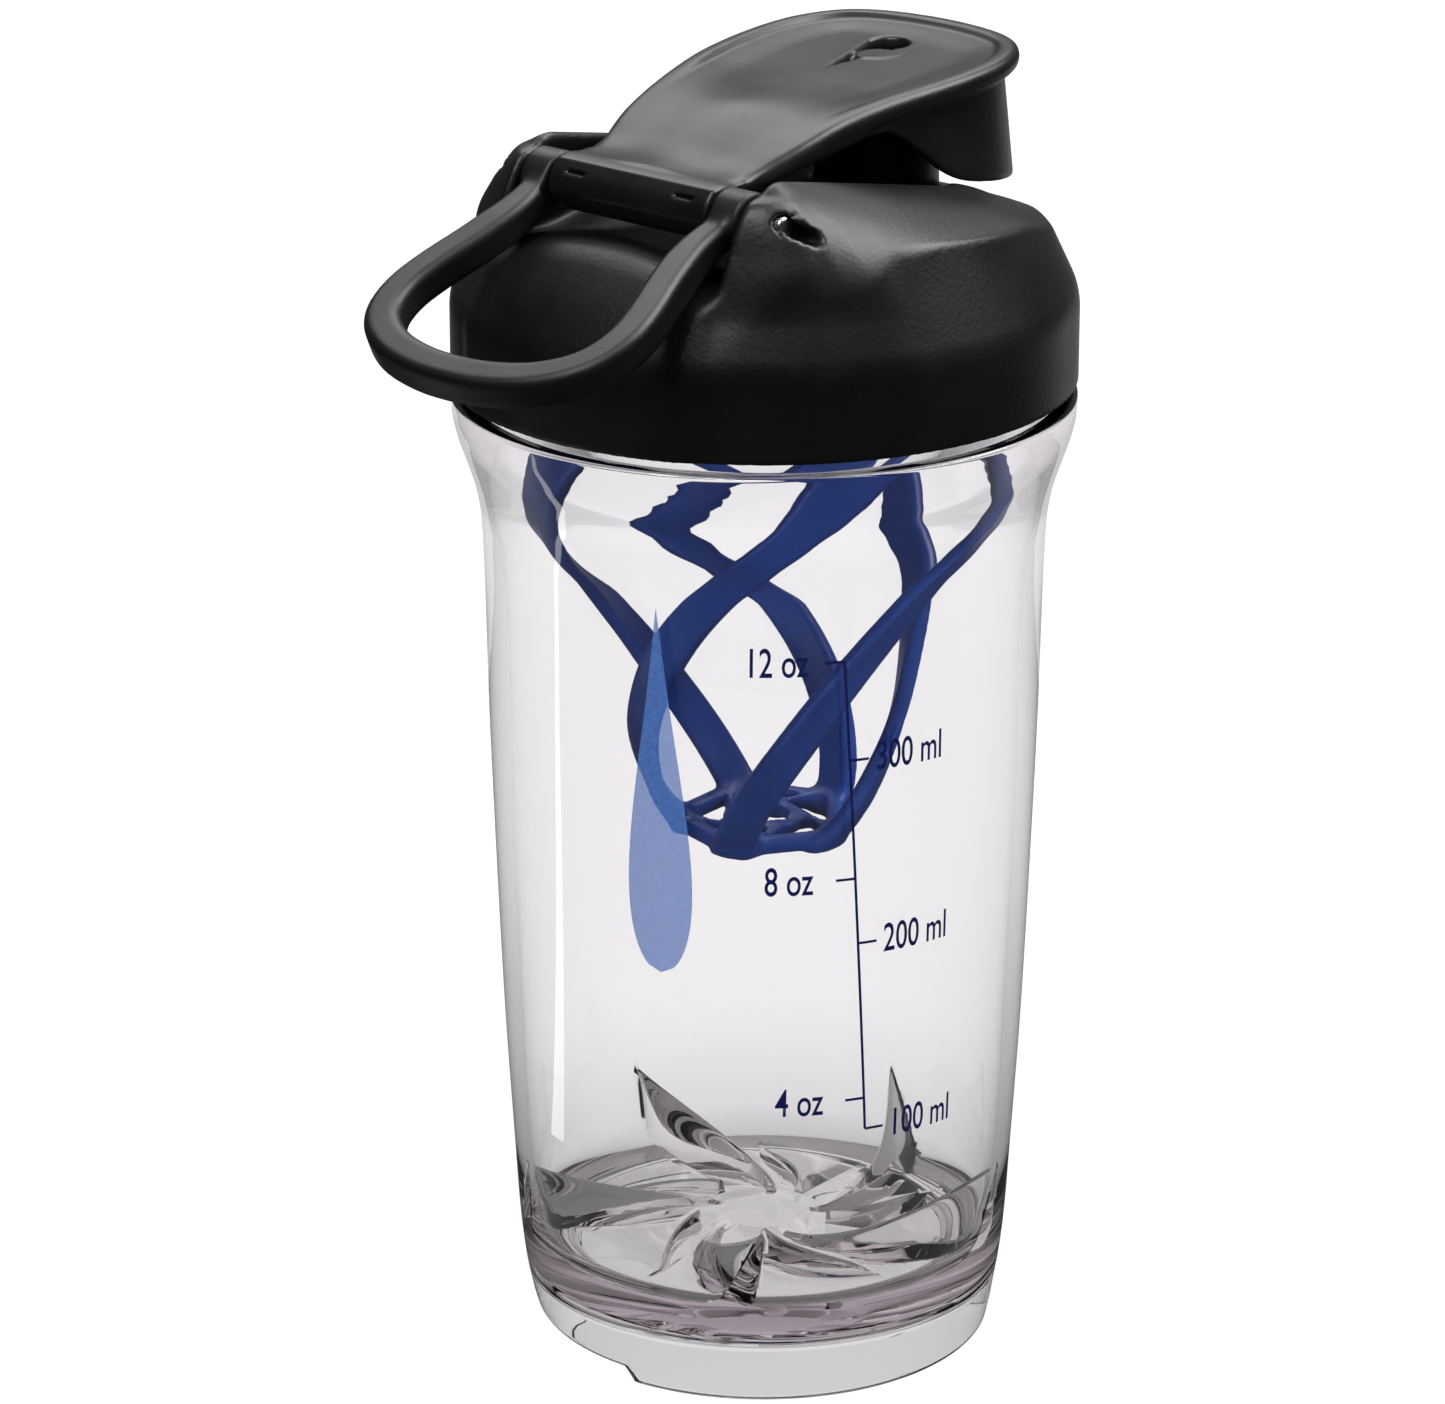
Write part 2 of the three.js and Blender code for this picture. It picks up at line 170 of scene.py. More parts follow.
def add_piece(name, mesh, body, material, replaces=()):
    """Puts a finished mesh in the scene, on its body, with its material."""
    piece = bpy.data.objects.new(name, mesh)
    bpy.context.scene.collection.objects.link(piece)
    mesh.materials.clear()
    mesh.materials.append(material)
    mesh.shade_smooth()
    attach(piece, body)
    if replaces:
        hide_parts(*replaces)
    return piece


def gradient(field, p, reach=0.04):
    """The field's slope at each point, by differences."""
    out = np.empty_like(p)
    for axis in range(3):
        ahead, behind = p.copy(), p.copy()
        ahead[:, axis] += reach
        behind[:, axis] -= reach
        out[:, axis] = (field(*ahead.T) - field(*behind.T)) / (2 * reach)
    return out


CORNERS = np.array([(i, j, k) for i in (0, 1) for j in (0, 1) for k in (0, 1)])
CELL_EDGES = [
    (a, b) for a in range(8) for b in range(a + 1, 8) if np.abs(CORNERS[a] - CORNERS[b]).sum() == 1
]


def net_faces(inside, index):
    """One four-sided face for each grid edge that the surface crosses."""
    faces = []
    for axis in range(3):
        u, v = (axis + 1) % 3, (axis + 2) % 3
        here = np.moveaxis(inside, (axis, u, v), (0, 1, 2))
        cells = np.moveaxis(index, (axis, u, v), (0, 1, 2))
        crossed = here[:-1, 1:-1, 1:-1] != here[1:, 1:-1, 1:-1]
        a, b, c = np.nonzero(crossed)
        ring = np.stack([cells[a, b, c], cells[a, b + 1, c], cells[a, b + 1, c + 1], cells[a, b, c + 1]], 1)
        leaving = here[a, b + 1, c + 1]
        ring[~leaving] = ring[~leaving][:, ::-1]
        faces.append(ring)
    return np.concatenate(faces)


def surface_net(field, low, high, step):
    """The closed surface where the field is zero, as points pulled onto it and four-sided faces."""
    axes = [np.arange(a, b + step, step) for a, b in zip(low, high)]
    x, y, z = axes[0][:, None, None], axes[1][None, :, None], axes[2][None, None, :]
    value = field(x, y, z) + np.zeros([len(a) for a in axes])
    inside = value < 0
    size = np.array(inside.shape) - 1
    corner = [value[i:i + size[0], j:j + size[1], k:k + size[2]] for i, j, k in CORNERS]
    count = sum((c < 0).astype(np.int8) for c in corner)
    mixed = (count > 0) & (count < 8)
    cells = np.argwhere(mixed)
    index = np.full(mixed.shape, -1)
    index[mixed] = np.arange(len(cells))
    at = np.stack([c[mixed] for c in corner], 1)
    total, hits = np.zeros((len(cells), 3)), np.zeros(len(cells))
    for a, b in CELL_EDGES:
        crossing = (at[:, a] < 0) != (at[:, b] < 0)
        t = at[:, a] / np.where(crossing, at[:, a] - at[:, b], 1)
        total += np.where(crossing[:, None], CORNERS[a] + t[:, None] * (CORNERS[b] - CORNERS[a]), 0)
        hits += crossing
    start = np.array(low) + (cells + total / hits[:, None]) * step
    points = start.copy()
    for _ in range(4):
        slope = gradient(field, points)
        squared = np.maximum((slope ** 2).sum(1), 0.05)
        points -= (0.9 * field(*points.T) / squared)[:, None] * slope
        points = np.clip(points, start - 0.55 * step, start + 0.55 * step)
    return points, net_faces(inside, index)


def net_mesh(name, field, low, high, step):
    """A surface_net as a mesh."""
    points, faces = surface_net(field, low, high, step)
    return mesh_from(name, points, faces.tolist())


def fillet(outline, steps=5):
    """An outline of (radius, z, corner radius) with its corners rounded by arcs."""
    out = []
    count = len(outline)
    for i, (r, z, corner) in enumerate(outline):
        here = np.array([r, z], float)
        if corner <= 0:
            out.append(here)
            continue
        back = np.array(outline[i - 1][:2], float) - here
        ahead = np.array(outline[(i + 1) % count][:2], float) - here
        back /= np.linalg.norm(back)
        ahead /= np.linalg.norm(ahead)
        half = math.acos(np.clip(back @ ahead, -1, 1)) / 2
        reach = corner / math.tan(half)
        middle = here + (back + ahead) / np.linalg.norm(back + ahead) * corner / math.sin(half)
        first, last = here + back * reach - middle, here + ahead * reach - middle
        for s in range(steps + 1):
            t = s / steps
            spoke = first * (1 - t) + last * t
            out.append(middle + spoke / np.linalg.norm(spoke) * corner)
    return np.array(out)


def lathe(profile, segments, centre=(0, 0)):
    """Points and faces of a closed profile turned about a vertical axis. Points at radius 0 are shared."""
    points, rings = [], []
    angles = np.linspace(0, 2 * math.pi, segments, endpoint=False)
    for r, z in profile:
        if r < 1e-6:
            rings.append([len(points)] * segments)
            points.append((centre[0], centre[1], z))
            continue
        rings.append(list(range(len(points), len(points) + segments)))
        points += [(centre[0] + r * math.cos(a), centre[1] + r * math.sin(a), z) for a in angles]
    faces = []
    for low, high in zip(rings, rings[1:] + rings[:1]):
        for i in range(segments):
            j = (i + 1) % segments
            face = list(dict.fromkeys((low[i], low[j], high[j], high[i])))
            if len(face) > 2:
                faces.append(face)
    return np.array(points), faces


def sweep(rings):
    """Points and faces of a closed tube through rings of points, capped at both ends."""
    count = len(rings[0])
    points = np.concatenate(rings)
    faces = [list(range(count))[::-1], list(range(len(points) - count, len(points)))]
    for i in range(len(rings) - 1):
        for j in range(count):
            k = (j + 1) % count
            faces.append([i * count + j, i * count + k, (i + 1) * count + k, (i + 1) * count + j])
    return points, faces


def outward(mesh):
    """Turns every face of a closed mesh to look out."""
    work = bmesh.new()
    work.from_mesh(mesh)
    bmesh.ops.recalc_face_normals(work, faces=work.faces)
    work.to_mesh(mesh)
    work.free()
    return mesh


def gathered(parts):
    """Several (points, faces) as one."""
    points, faces, start = [], [], 0
    for more, its_faces in parts:
        points.append(more)
        faces += [[v + start for v in face] for face in its_faces]
        start += len(more)
    return np.concatenate(points), faces


def solid_mesh(name, *parts):
    """Closed (points, faces) as one mesh that looks out."""
    return outward(mesh_from(name, *gathered(parts)))


def combined(mesh, others, operation):
    """The mesh with closed solids joined to it or taken out of it, so that no wall is left inside."""
    base, *helpers = [bpy.data.objects.new("combined", data) for data in (mesh, *others)]
    for thing in (base, *helpers):
        bpy.context.scene.collection.objects.link(thing)
    for helper in helpers:
        step = base.modifiers.new("combined", "BOOLEAN")
        step.operation = operation
        step.solver = "MANIFOLD"
        step.object = helper
    ready = base.evaluated_get(bpy.context.evaluated_depsgraph_get())
    result = bpy.data.meshes.new_from_object(ready)
    for thing in (base, *helpers):
        bpy.data.objects.remove(thing)
    return result


# ---- materials ----
def new_material(name, color, roughness, **settings):
    material = bpy.data.materials.new(name)
    material.use_nodes = True
    shader = material.node_tree.nodes["Principled BSDF"]
    shader.inputs["Base Color"].default_value = (*color, 1)
    shader.inputs["Roughness"].default_value = roughness
    for socket, value in settings.items():
        shader.inputs[socket.replace("_", " ")].default_value = value
    return material, material.node_tree, shader


def noise(tree, scale, detail=3.0, kind="ShaderNodeTexNoise"):
    """A pattern in the object's own metres, so that it stays with the piece."""
    where = tree.nodes.new("ShaderNodeTexCoord")
    texture = tree.nodes.new(kind)
    texture.inputs["Scale"].default_value = scale
    if "Detail" in texture.inputs:
        texture.inputs["Detail"].default_value = detail
    tree.links.new(where.outputs["Object"], texture.inputs["Vector"])
    return texture


def spread(tree, source, low, high, target):
    """Feeds a 0 to 1 pattern into a socket as values between low and high."""
    node = tree.nodes.new("ShaderNodeMapRange")
    node.inputs["From Min"].default_value = 0.3
    node.inputs["From Max"].default_value = 0.7
    node.inputs["To Min"].default_value = low
    node.inputs["To Max"].default_value = high
    tree.links.new(source, node.inputs["Value"])
    tree.links.new(node.outputs["Result"], target)


def tones(tree, source, dark, light, target):
    """Feeds a pattern into a colour socket as a blend of two near colours."""
    node = tree.nodes.new("ShaderNodeValToRGB")
    node.color_ramp.elements[0].position = 0.35
    node.color_ramp.elements[1].position = 0.65
    node.color_ramp.elements[0].color = (*dark, 1)
    node.color_ramp.elements[1].color = (*light, 1)
    tree.links.new(source, node.inputs["Fac"])
    tree.links.new(node.outputs["Color"], target)


def bump(tree, shader, height, strength, distance):
    node = tree.nodes.new("ShaderNodeBump")
    node.inputs["Strength"].default_value = strength
    node.inputs["Distance"].default_value = distance
    tree.links.new(height, node.inputs["Height"])
    tree.links.new(node.outputs["Normal"], shader.inputs["Normal"])


def calculated(tree, operation, first, second, clamp=False):
    """The value of a Math node whose inputs are sockets or plain numbers."""
    node = tree.nodes.new("ShaderNodeMath")
    node.operation = operation
    node.use_clamp = clamp
    for source, target in ((first, node.inputs[0]), (second, node.inputs[1])):
        if isinstance(source, (int, float)):
            target.default_value = source
        else:
            tree.links.new(source, target)
    return node.outputs["Value"]


def eased(tree, source, low, high, first, last):
    """Goes smoothly from first to last as the source goes from low to high."""
    node = tree.nodes.new("ShaderNodeMapRange")
    node.interpolation_type = "SMOOTHSTEP"
    for socket, value in (("From Min", low), ("From Max", high), ("To Min", first), ("To Max", last)):
        node.inputs[socket].default_value = value
    tree.links.new(source, node.inputs["Value"])
    return node.outputs["Result"]


def mixed(tree, factor, first, second):
    """One shader where the factor is 0 and the other where it is 1."""
    node = tree.nodes.new("ShaderNodeMixShader")
    tree.links.new(factor, node.inputs["Fac"])
    tree.links.new(first, node.inputs[1])
    tree.links.new(second, node.inputs[2])
    return node.outputs["Shader"]


def grained_black(name, dark, light, rough_low, rough_high, grain, depth):
    """Moulded black plastic with a spark-eroded grain. dark and light are greys, depth is in millimetres."""
    dark, light = ((level, level, level + 0.0001) for level in (dark, light))
    material, tree, shader = new_material(name, light, rough_high)
    cloud = noise(tree, 90)
    tones(tree, cloud.outputs["Fac"], dark, light, shader.inputs["Base Color"])
    spread(tree, cloud.outputs["Fac"], rough_low, rough_high, shader.inputs["Roughness"])
    fine = noise(tree, grain, 2.0)
    bump(tree, shader, fine.outputs["Fac"], 0.6, depth * MM)
    return material


def clear_plastic():
    """Clear copolyester, faintly warm grey where it is thick.

    The lamps' light and the blurred reflections in the black plastic pass straight through it.
    """
    material, tree, shader = new_material(
        "clear_plastic", (0.975, 0.97, 0.975), 0.0, Transmission_Weight=1.0, IOR=1.54)
    wave = noise(tree, 26, 1.0)
    bump(tree, shader, wave.outputs["Fac"], 0.12, 0.35 * MM)
    depth = tree.nodes.new("ShaderNodeVolumeAbsorption")
    depth.inputs["Color"].default_value = (0.80, 0.76, 0.785, 1)
    depth.inputs["Density"].default_value = 60
    passing = tree.nodes.new("ShaderNodeBsdfTransparent")
    passing.inputs["Color"].default_value = (0.93, 0.93, 0.935, 1)
    ray = tree.nodes.new("ShaderNodeLightPath").outputs
    soft = calculated(tree, "MAXIMUM", ray["Is Shadow Ray"], ray["Is Diffuse Ray"])
    blurred = calculated(tree, "SUBTRACT", ray["Is Glossy Ray"], ray["Is Singular Ray"], clamp=True)
    straight = calculated(tree, "MAXIMUM", soft, blurred)
    output = tree.nodes["Material Output"].inputs
    tree.links.new(depth.outputs["Volume"], output["Volume"])
    tree.links.new(mixed(tree, straight, shader.outputs["BSDF"], passing.outputs["BSDF"]), output["Surface"])
    return material


def blue_plastic():
    """Satin moulded blue, a little uneven as a thin part is."""
    material, tree, shader = new_material("blue_plastic", (0.012, 0.048, 0.27), 0.38, Specular_IOR_Level=0.35)
    dark, light = (0.009, 0.040, 0.235), (0.016, 0.062, 0.33)
    cloud = noise(tree, 70)
    tones(tree, cloud.outputs["Fac"], dark, light, shader.inputs["Base Color"])
    spread(tree, cloud.outputs["Fac"], 0.28, 0.42, shader.inputs["Roughness"])
    fine = noise(tree, 900, 2.0)
    bump(tree, shader, fine.outputs["Fac"], 0.25, 0.03 * MM)
    return material


def silicone():
    """Matt dark grey silicone, a little cloudy."""
    material, tree, shader = new_material("silicone", (0.03, 0.03, 0.032), 0.62, Sheen_Weight=0.15)
    dark, light = (0.022, 0.022, 0.024), (0.042, 0.042, 0.045)
    cloud = noise(tree, 260)
    tones(tree, cloud.outputs["Fac"], dark, light, shader.inputs["Base Color"])
    bump(tree, shader, cloud.outputs["Fac"], 0.3, 0.05 * MM)
    return material


def turned_steel():
    """Steel rod with fine turning marks round it."""
    material, tree, shader = new_material("turned_steel", (0.66, 0.66, 0.67), 0.22, Metallic=1.0)
    rings = noise(tree, 1400, 0.0, "ShaderNodeTexWave")
    rings.bands_direction = "Y"
    bump(tree, shader, rings.outputs["Fac"], 0.2, 0.02 * MM)
    cloud = noise(tree, 300)
    spread(tree, cloud.outputs["Fac"], 0.17, 0.3, shader.inputs["Roughness"])
    return material


def print_ink(name, dark, light, see_through):
    """Screen-printed ink: thin, a little mottled, with pinholes where it didn't cover."""
    material, tree, shader = new_material(name, dark, 0.35)
    cloud = noise(tree, 1500)
    tones(tree, cloud.outputs["Fac"], dark, light, shader.inputs["Base Color"])
    if see_through > 0:
        spread(tree, cloud.outputs["Fac"], 1 - see_through, 1 - 0.8 * see_through, shader.inputs["Alpha"])
    return material


LID_BLACK = grained_black("lid_black", 0.0016, 0.0026, 0.38, 0.46, 1500, 0.07)
LINER_BLACK = grained_black("liner_black", 0.0016, 0.0025, 0.34, 0.44, 900, 0.02)
CAP_BLACK = grained_black("cap_black", 0.0030, 0.0042, 0.34, 0.42, 1900, 0.022)
LOOP_BLACK = grained_black("loop_black", 0.0016, 0.0026, 0.42, 0.50, 1700, 0.03)
CLEAR = clear_plastic()
BLUE = blue_plastic()
SILICONE = silicone()
STEEL = turned_steel()
NAVY_INK = print_ink("navy_ink", (0.003, 0.006, 0.055), (0.006, 0.011, 0.08), 0)
PALE_INK = print_ink("pale_ink", (0.07, 0.16, 0.46), (0.09, 0.20, 0.54), 0.22)


# ---- cup ----
body_radius = curve_through([
    (0, FOOT_RADIUS), (3.2, 32.8), (15, 34.4), (26, 35.1), (47, 36.3), (70, 37.2), (92, 37.9),
    (112, 38.3), (119, 38.6), (123.5, 39.3), (127.5, 40.5), (131, 41.7), (134, 42.35), (136.9, 42.5),
])
bore_radius = curve_through([
    (FLOOR_Z + 4, 32.0), (24, 32.6), (65, 34.3), (110, 35.3), (LEDGE_Z - 7, 35.6), (LEDGE_Z - 2, 36.0),
    (LEDGE_Z + 3, NECK_BORE),
])


def cup_profile():
    """The cup's whole section, from the foot up the outside, over the neck and down to the recess."""
    heights = np.concatenate([np.linspace(1.4, 112, 60), np.linspace(113, COLLAR_TOP_Z - 1.3, 34)])
    outline = [(FOOT_RADIUS, 0, 0.7)]
    outline += [(float(body_radius(z)), z, 0) for z in heights]
    outline += [
        (LID_RADIUS, COLLAR_TOP_Z, 0.6), (NECK_RADIUS + 1.4, COLLAR_TOP_Z, 0.5),
        (NECK_RADIUS, COLLAR_TOP_Z + 1.7, 0.8), (NECK_RADIUS, NECK_TOP_Z, 0.7), (NECK_BORE, NECK_TOP_Z, 0.6),
    ]
    outline += [(float(bore_radius(z)), z, 0) for z in np.linspace(LEDGE_Z + 3, LEDGE_Z - 8, 16)]
    outline += [(float(bore_radius(z)), z, 0) for z in np.linspace(LEDGE_Z - 12, FLOOR_Z + 5, 50)]
    outline += [
        (31.6, FLOOR_Z, 3.6), (9, FLOOR_Z + 0.3, 2.0), (5.6, FLOOR_Z + 0.8, 0.6), (0, FLOOR_Z + 1.0, 0),
        (0, RECESS_Z, 0), (29.0, RECESS_Z, 2.6), (29.6, 0, 0.6),
    ]
    return fillet(outline)


def foot_arch(points):
    """Lifts the foot's edge in two low arches, on opposite sides, as the drain gaps of a dishwasher."""
    lift, half_wide, run_out = 2.0, 30, 3.5
    turn = np.degrees(np.arctan2(points[:, 1], points[:, 0]))
    for middle in (154, -26):
        away = np.abs((turn - middle + 180) % 360 - 180)
        arch = lift * (1 - smooth_step(half_wide, half_wide + run_out, away))
        points[:, 2] += arch * np.clip(1 - points[:, 2] / (RECESS_Z - 0.4), 0, 1)
    return points


def swirl_fin(tip, swirl, inner, outer, low, high, power, half_top, half_base, lean):
    """A blade on the floor that rises outward and swings round to its tip, its foot leaning to one side."""
    rings = []
    across = np.linspace(-1, 1, 25)
    for t in np.linspace(0, 1, 34):
        radius = inner + (outer - inner) * t
        angle = math.radians(tip - swirl * (1 - t) ** 1.3)
        top = FLOOR_Z + low + (high - low) * t ** power
        base = FLOOR_Z - 2.0
        side = half_top * across + (half_base - half_top) * across ** 7
        side = side - lean * t * np.abs(across) ** 1.7
        height = top - (top - base) * np.abs(across) ** 1.5
        turned = angle + side / radius
        rings.append(np.stack([radius * np.cos(turned), radius * np.sin(turned), height], 1))
    return sweep(rings)


def make_cup():
    points, faces = lathe(cup_profile(), 256)
    wall = outward(mesh_from("cup", foot_arch(points), faces))
    extras = []
    for turn in range(0, 360, 360 // FIN_PAIRS):
        tall = swirl_fin(turn - 139, 46, inner=8.0, outer=33.4, low=1.0, high=12.6, power=1.7,
                         half_top=2.4, half_base=4.4, lean=4.2)
        short = swirl_fin(turn - 103, 34, inner=9.5, outer=24.0, low=2.4, high=0.4, power=1.2,
                          half_top=1.1, half_base=2.6, lean=0.0)
        extras += [solid_mesh("fin", tall), solid_mesh("fin", short)]
    for start in (0, math.pi):
        ridge = thread_ridge(start, root=NECK_RADIUS - 0.5, crest=40.2, low=141.2, turn=3.6, height=1.1)
        extras.append(solid_mesh("thread", ridge))
    add_piece("cup_wall", combined(wall, extras, "UNION"), "cup", CLEAR, ["cup"])


RIDGE_SECTION = ((0, -1), (0.55, -0.75), (0.9, -0.45), (1, -0.2), (1, 0.2), (0.9, 0.45), (0.55, 0.75), (0, 1))


def thread_ridge(start, root, crest, low, turn, height, lead=6.0):
    """A rounded ridge that climbs a cylinder, thinning to nothing at both ends."""
    rings = []
    for t in np.linspace(0, 1, 90):
        fade = smooth_step(0, 0.06, t) * smooth_step(0, 0.06, 1 - t)
        rise = low + lead * turn * t / (2 * math.pi)
        angle = start + turn * t
        section = []
        for share, drop in RIDGE_SECTION:
            radius = root + (crest - root) * share * fade
            section.append((radius * math.sin(angle), -radius * math.cos(angle), rise + height * drop))
        rings.append(np.array(section))
    return sweep(rings)


make_cup()


# ---- lid ----
# height of the hump and of the channel's floor, along x
platform_line = curve_through([
    (-46, 147), (-43.2, 149.9), (-41.6, 153), (-38.8, 156.8), (-36.4, 159.4), (-34, 161.4), (-31.4, 162.5),
    (-28, 163.0), (-20, 162.2), (-10, 161.4), (40, 161.0),
])
# how fast they fall away to the sides
platform_droop = curve_through([(-46, 0), (-40, 0.004), (-34, 0.008), (-26, 0.008), (-14, 0.0)])
# where an ear's front is, at each height
ear_front = curve_through([
    (148, -46), (150, -44), (152.6, -41), (155, -38.5), (157.5, -36), (160, -34.3), (163, -32.9),
    (166.7, -31.5), (169.3, -29.6), (170.8, -27.4), (171.6, -24.5), (176, -22),
])
# how fast a shoulder falls away from its ridge, along x
crown_drop = curve_through([
    (-28, 0.25), (-24, 0.225), (-21, 0.185), (-18, 0.145), (-12, 0.0945), (-6, 0.067),
    (0, 0.054), (6, 0.046), (12, 0.042), (24, 0.06), (32, 0.06),
])
# how softly a shoulder meets the band, along x
crease_round = curve_through([(-30, 4), (-24, 2.2), (-20, 1.3), (-12, 0.7), (0, 0.45)])
CROWN_CURVED = 10.5                                  # beyond this the shoulder falls in a straight line
EAR_INNER = 19.0
EAR_SLANT = (0.35, 0.6)                              # how an ear's front turns back, each side of its crease
EAR_CREASE = 1.5
EAR_WIDE = 8.5
EAR_FULLER = 1.5                                     # how far the ears stand out past the band's cone
PLATFORM_STEEP = 1.15
CAVITY_RADIUS = 41.0
CAVITY_TOP_Z = 151.7
SLOT_ALONG, SLOT_DOWN = 0.848, 0.53                  # the direction in which a slot runs from the pin


def lid_dome(x, y, z, floor):
    """The skirt, the band and the shoulders, with an ear on each side of the hinge and a hump between."""
    radius, wide = np.hypot(x, y), np.abs(y)
    skirt = radius - LID_RADIUS
    fuller = EAR_FULLER * smooth_step(-13, -21, x) * smooth_step(156, 164, z)
    band = (radius - LID_RADIUS - fuller + BAND_SLOPE * (z - SKIRT_TOP_Z)) / math.hypot(1, BAND_SLOPE)
    cone = smooth_max(skirt, band, 0.9)
    out = np.maximum(0, wide - EAR_INNER)
    aside = np.minimum(out, EAR_WIDE)
    slant = smooth_max(EAR_SLANT[0] * aside, EAR_SLANT[1] * (aside - EAR_CREASE), 0.25)
    front = ear_front(z) + slant * smooth_step(157, 166, z)
    near = np.minimum(out, CROWN_CURVED)
    ridge = 168.5 - 0.218 * np.maximum(x, -22) - 2.6 * smooth_step(18, 31, x)
    crown = ridge - crown_drop(x) * (near ** 1.6 + 1.6 * CROWN_CURVED ** 0.6 * (out - near))
    top = smooth_max((z - crown) / 1.12, (front - x) / 1.6, 2.2)
    solid = smooth_max(cone, top, crease_round(x))
    hump = smooth_max(cone, (z - floor) / PLATFORM_STEEP, 0.8)
    hump = smooth_max(hump, np.maximum(wide - RECESS_HALF, x), 2.4)
    return smooth_min(solid, hump, 2.4)


def lid_channel(x, y, z, floor):
    """The channel along the top, where the cap's tongue lies."""
    half = RECESS_HALF - 2.3 * smooth_step(14, 18, x)
    channel = smooth_max(np.abs(y) - half, (floor - z) / PLATFORM_STEEP, 2.2)
    return smooth_max(channel, x - 35, 1.0)


def lid_cavity(x, y, z, floor):
    """The hollow under the lid, round the spout's tube."""
    ceiling = np.maximum(CAVITY_TOP_Z, np.minimum(156.8, floor - 2.4))
    half = np.minimum(CAVITY_RADIUS, CAVITY_RADIUS - BAND_SLOPE * (z - 149.4))
    cavity = smooth_max(np.hypot(x, y) - half, z - ceiling, 1.0)
    tube = np.maximum(np.hypot(x - SPOUT_X, y) - SPOUT_RADIUS, CAVITY_TOP_Z - z)
    return np.maximum(cavity, -tube)


def ear_holes(x, y, z):
    """The pin's blind hole in each ear, and the short slot that shows the pin's end."""
    wide = np.abs(y)
    hole = np.maximum(np.hypot(x - HINGE_X, z - HINGE_Z) - HINGE_HOLE, wide - PIN_SEEN - 0.15)
    along = np.clip((x - HINGE_X) * SLOT_ALONG - (z - HINGE_Z) * SLOT_DOWN, 0, SLOT_LONG)
    slot = np.hypot(x - HINGE_X - along * SLOT_ALONG, z - HINGE_Z + along * SLOT_DOWN) - SLOT_HALF
    return np.minimum(hole, np.maximum(slot, PIN_SEEN - 0.8 - wide))


def lid_field(x, y, z):
    """Below zero inside the lid's moulding."""
    floor = platform_line(x) - platform_droop(x) * y * y
    solid = smooth_max(lid_dome(x, y, z, floor), -lid_channel(x, y, z, floor), 1.2)
    from_spout = np.hypot(x - SPOUT_X, y)
    tube = smooth_max(from_spout - SPOUT_RADIUS, z - SPOUT_TOP_Z, 1.3)
    solid = np.maximum(smooth_min(solid, tube, 1.2), -lid_cavity(x, y, z, floor))
    solid = smooth_max(solid, SPOUT_BORE - from_spout, 0.5)
    solid = smooth_max(solid, SEAM_Z - z, 0.5)
    return smooth_max(solid, -ear_holes(x, y, z), 0.35)


def make_lid():
    mesh = net_mesh("lid_shell", lid_field, (-44, -44, 137.4), (44, 44, 175), 0.55)
    add_piece("lid_body", mesh, "lid", LID_BLACK, ["lid_shell"])
    ridges = [
        thread_ridge(start, root=41.4, crest=40.7, low=143.4, turn=3.2, height=1.0)
        for start in (0, math.pi)
    ]
    add_piece("lid_thread", solid_mesh("lid_thread", *ridges), "lid", LID_BLACK)


def make_liner():
    """The disc under the lid, with the plug ring that goes down inside the cup's neck."""
    top = DISC_Z + 1.5
    disc = lathe(fillet([
        (39.6, DISC_Z, 0.3), (39.6, top, 0.4), (0, top, 0), (0, DISC_Z, 0), (34.4, DISC_Z, 0.8),
        (34.4, PLUG_BOTTOM_Z + 0.4, 0.5), (36.1, PLUG_BOTTOM_Z, 0.6), (36.2, DISC_Z, 0.8),
    ]), 160)
    rod = [(0, DISC_Z - 1), (SPOUT_BORE, DISC_Z - 1), (SPOUT_BORE, top + 1), (0, top + 1)]
    bore = lathe(rod, 64, (SPOUT_X, 0))
    mesh = combined(solid_mesh("lid_insert", disc), [solid_mesh("bore", bore)], "DIFFERENCE")
    add_piece("lid_liner", mesh, "lid", LINER_BLACK, ["lid_insert"])


def make_gasket():
    """The sealing ring between the neck's top and the disc."""
    low, high = NECK_TOP_Z + GAP, DISC_Z - GAP
    ring = lathe(fillet([(36.6, low, 0.5), (39.2, low, 0.5), (39.2, high, 0.5), (36.6, high, 0.5)]), 160)
    mesh = solid_mesh("lid_gasket", ring)
    add_piece("lid_seal_ring", mesh, "gasket", SILICONE, ["lid_gasket"])


make_lid()
make_liner()
make_gasket()


# ---- flip cap ----
CAP_BACK_X, CAP_TIP_X = -24.0, 39.0
CAP_HALF = [
    (CAP_BACK_X, 13.3), (-19, 13.5), (-16, 14.5), (-13, 15.5), (-10, 16.3), (-4, 17.2), (2, 18.3),
    (8, 19.5), (14, 20.3), (20, 20.6), (26, 20.2), (30, 18.9), (33, 17.2), (35.5, 14.9), (37.3, 11.6),
    (38.4, 7.4), (38.9, 3.2),
]
# the plate's upper face and the wall's lower edge, along x
cap_top = curve_through([
    (-30, 171.4), (-24, 171.6), (-20.5, 171.8), (-17, 172.5), (-13, 174.0), (-10, 175.1), (-4, 176.9),
    (2, 178.1), (8, 178.9), (17, 179.6), (26, 180.2), (35, 180.8), (40, 181.1),
])
cap_low = curve_through([
    (-26, 169.0), (-17, 170.2), (-11, 171.6), (-3, 173.2), (1.5, 174.0), (4.5, 173.9), (7.5, 172.7),
    (11.3, 169.9), (15, 166.9), (19, 164.9), (24, 163.8), (33, 162.4), (40, 161.2),
])


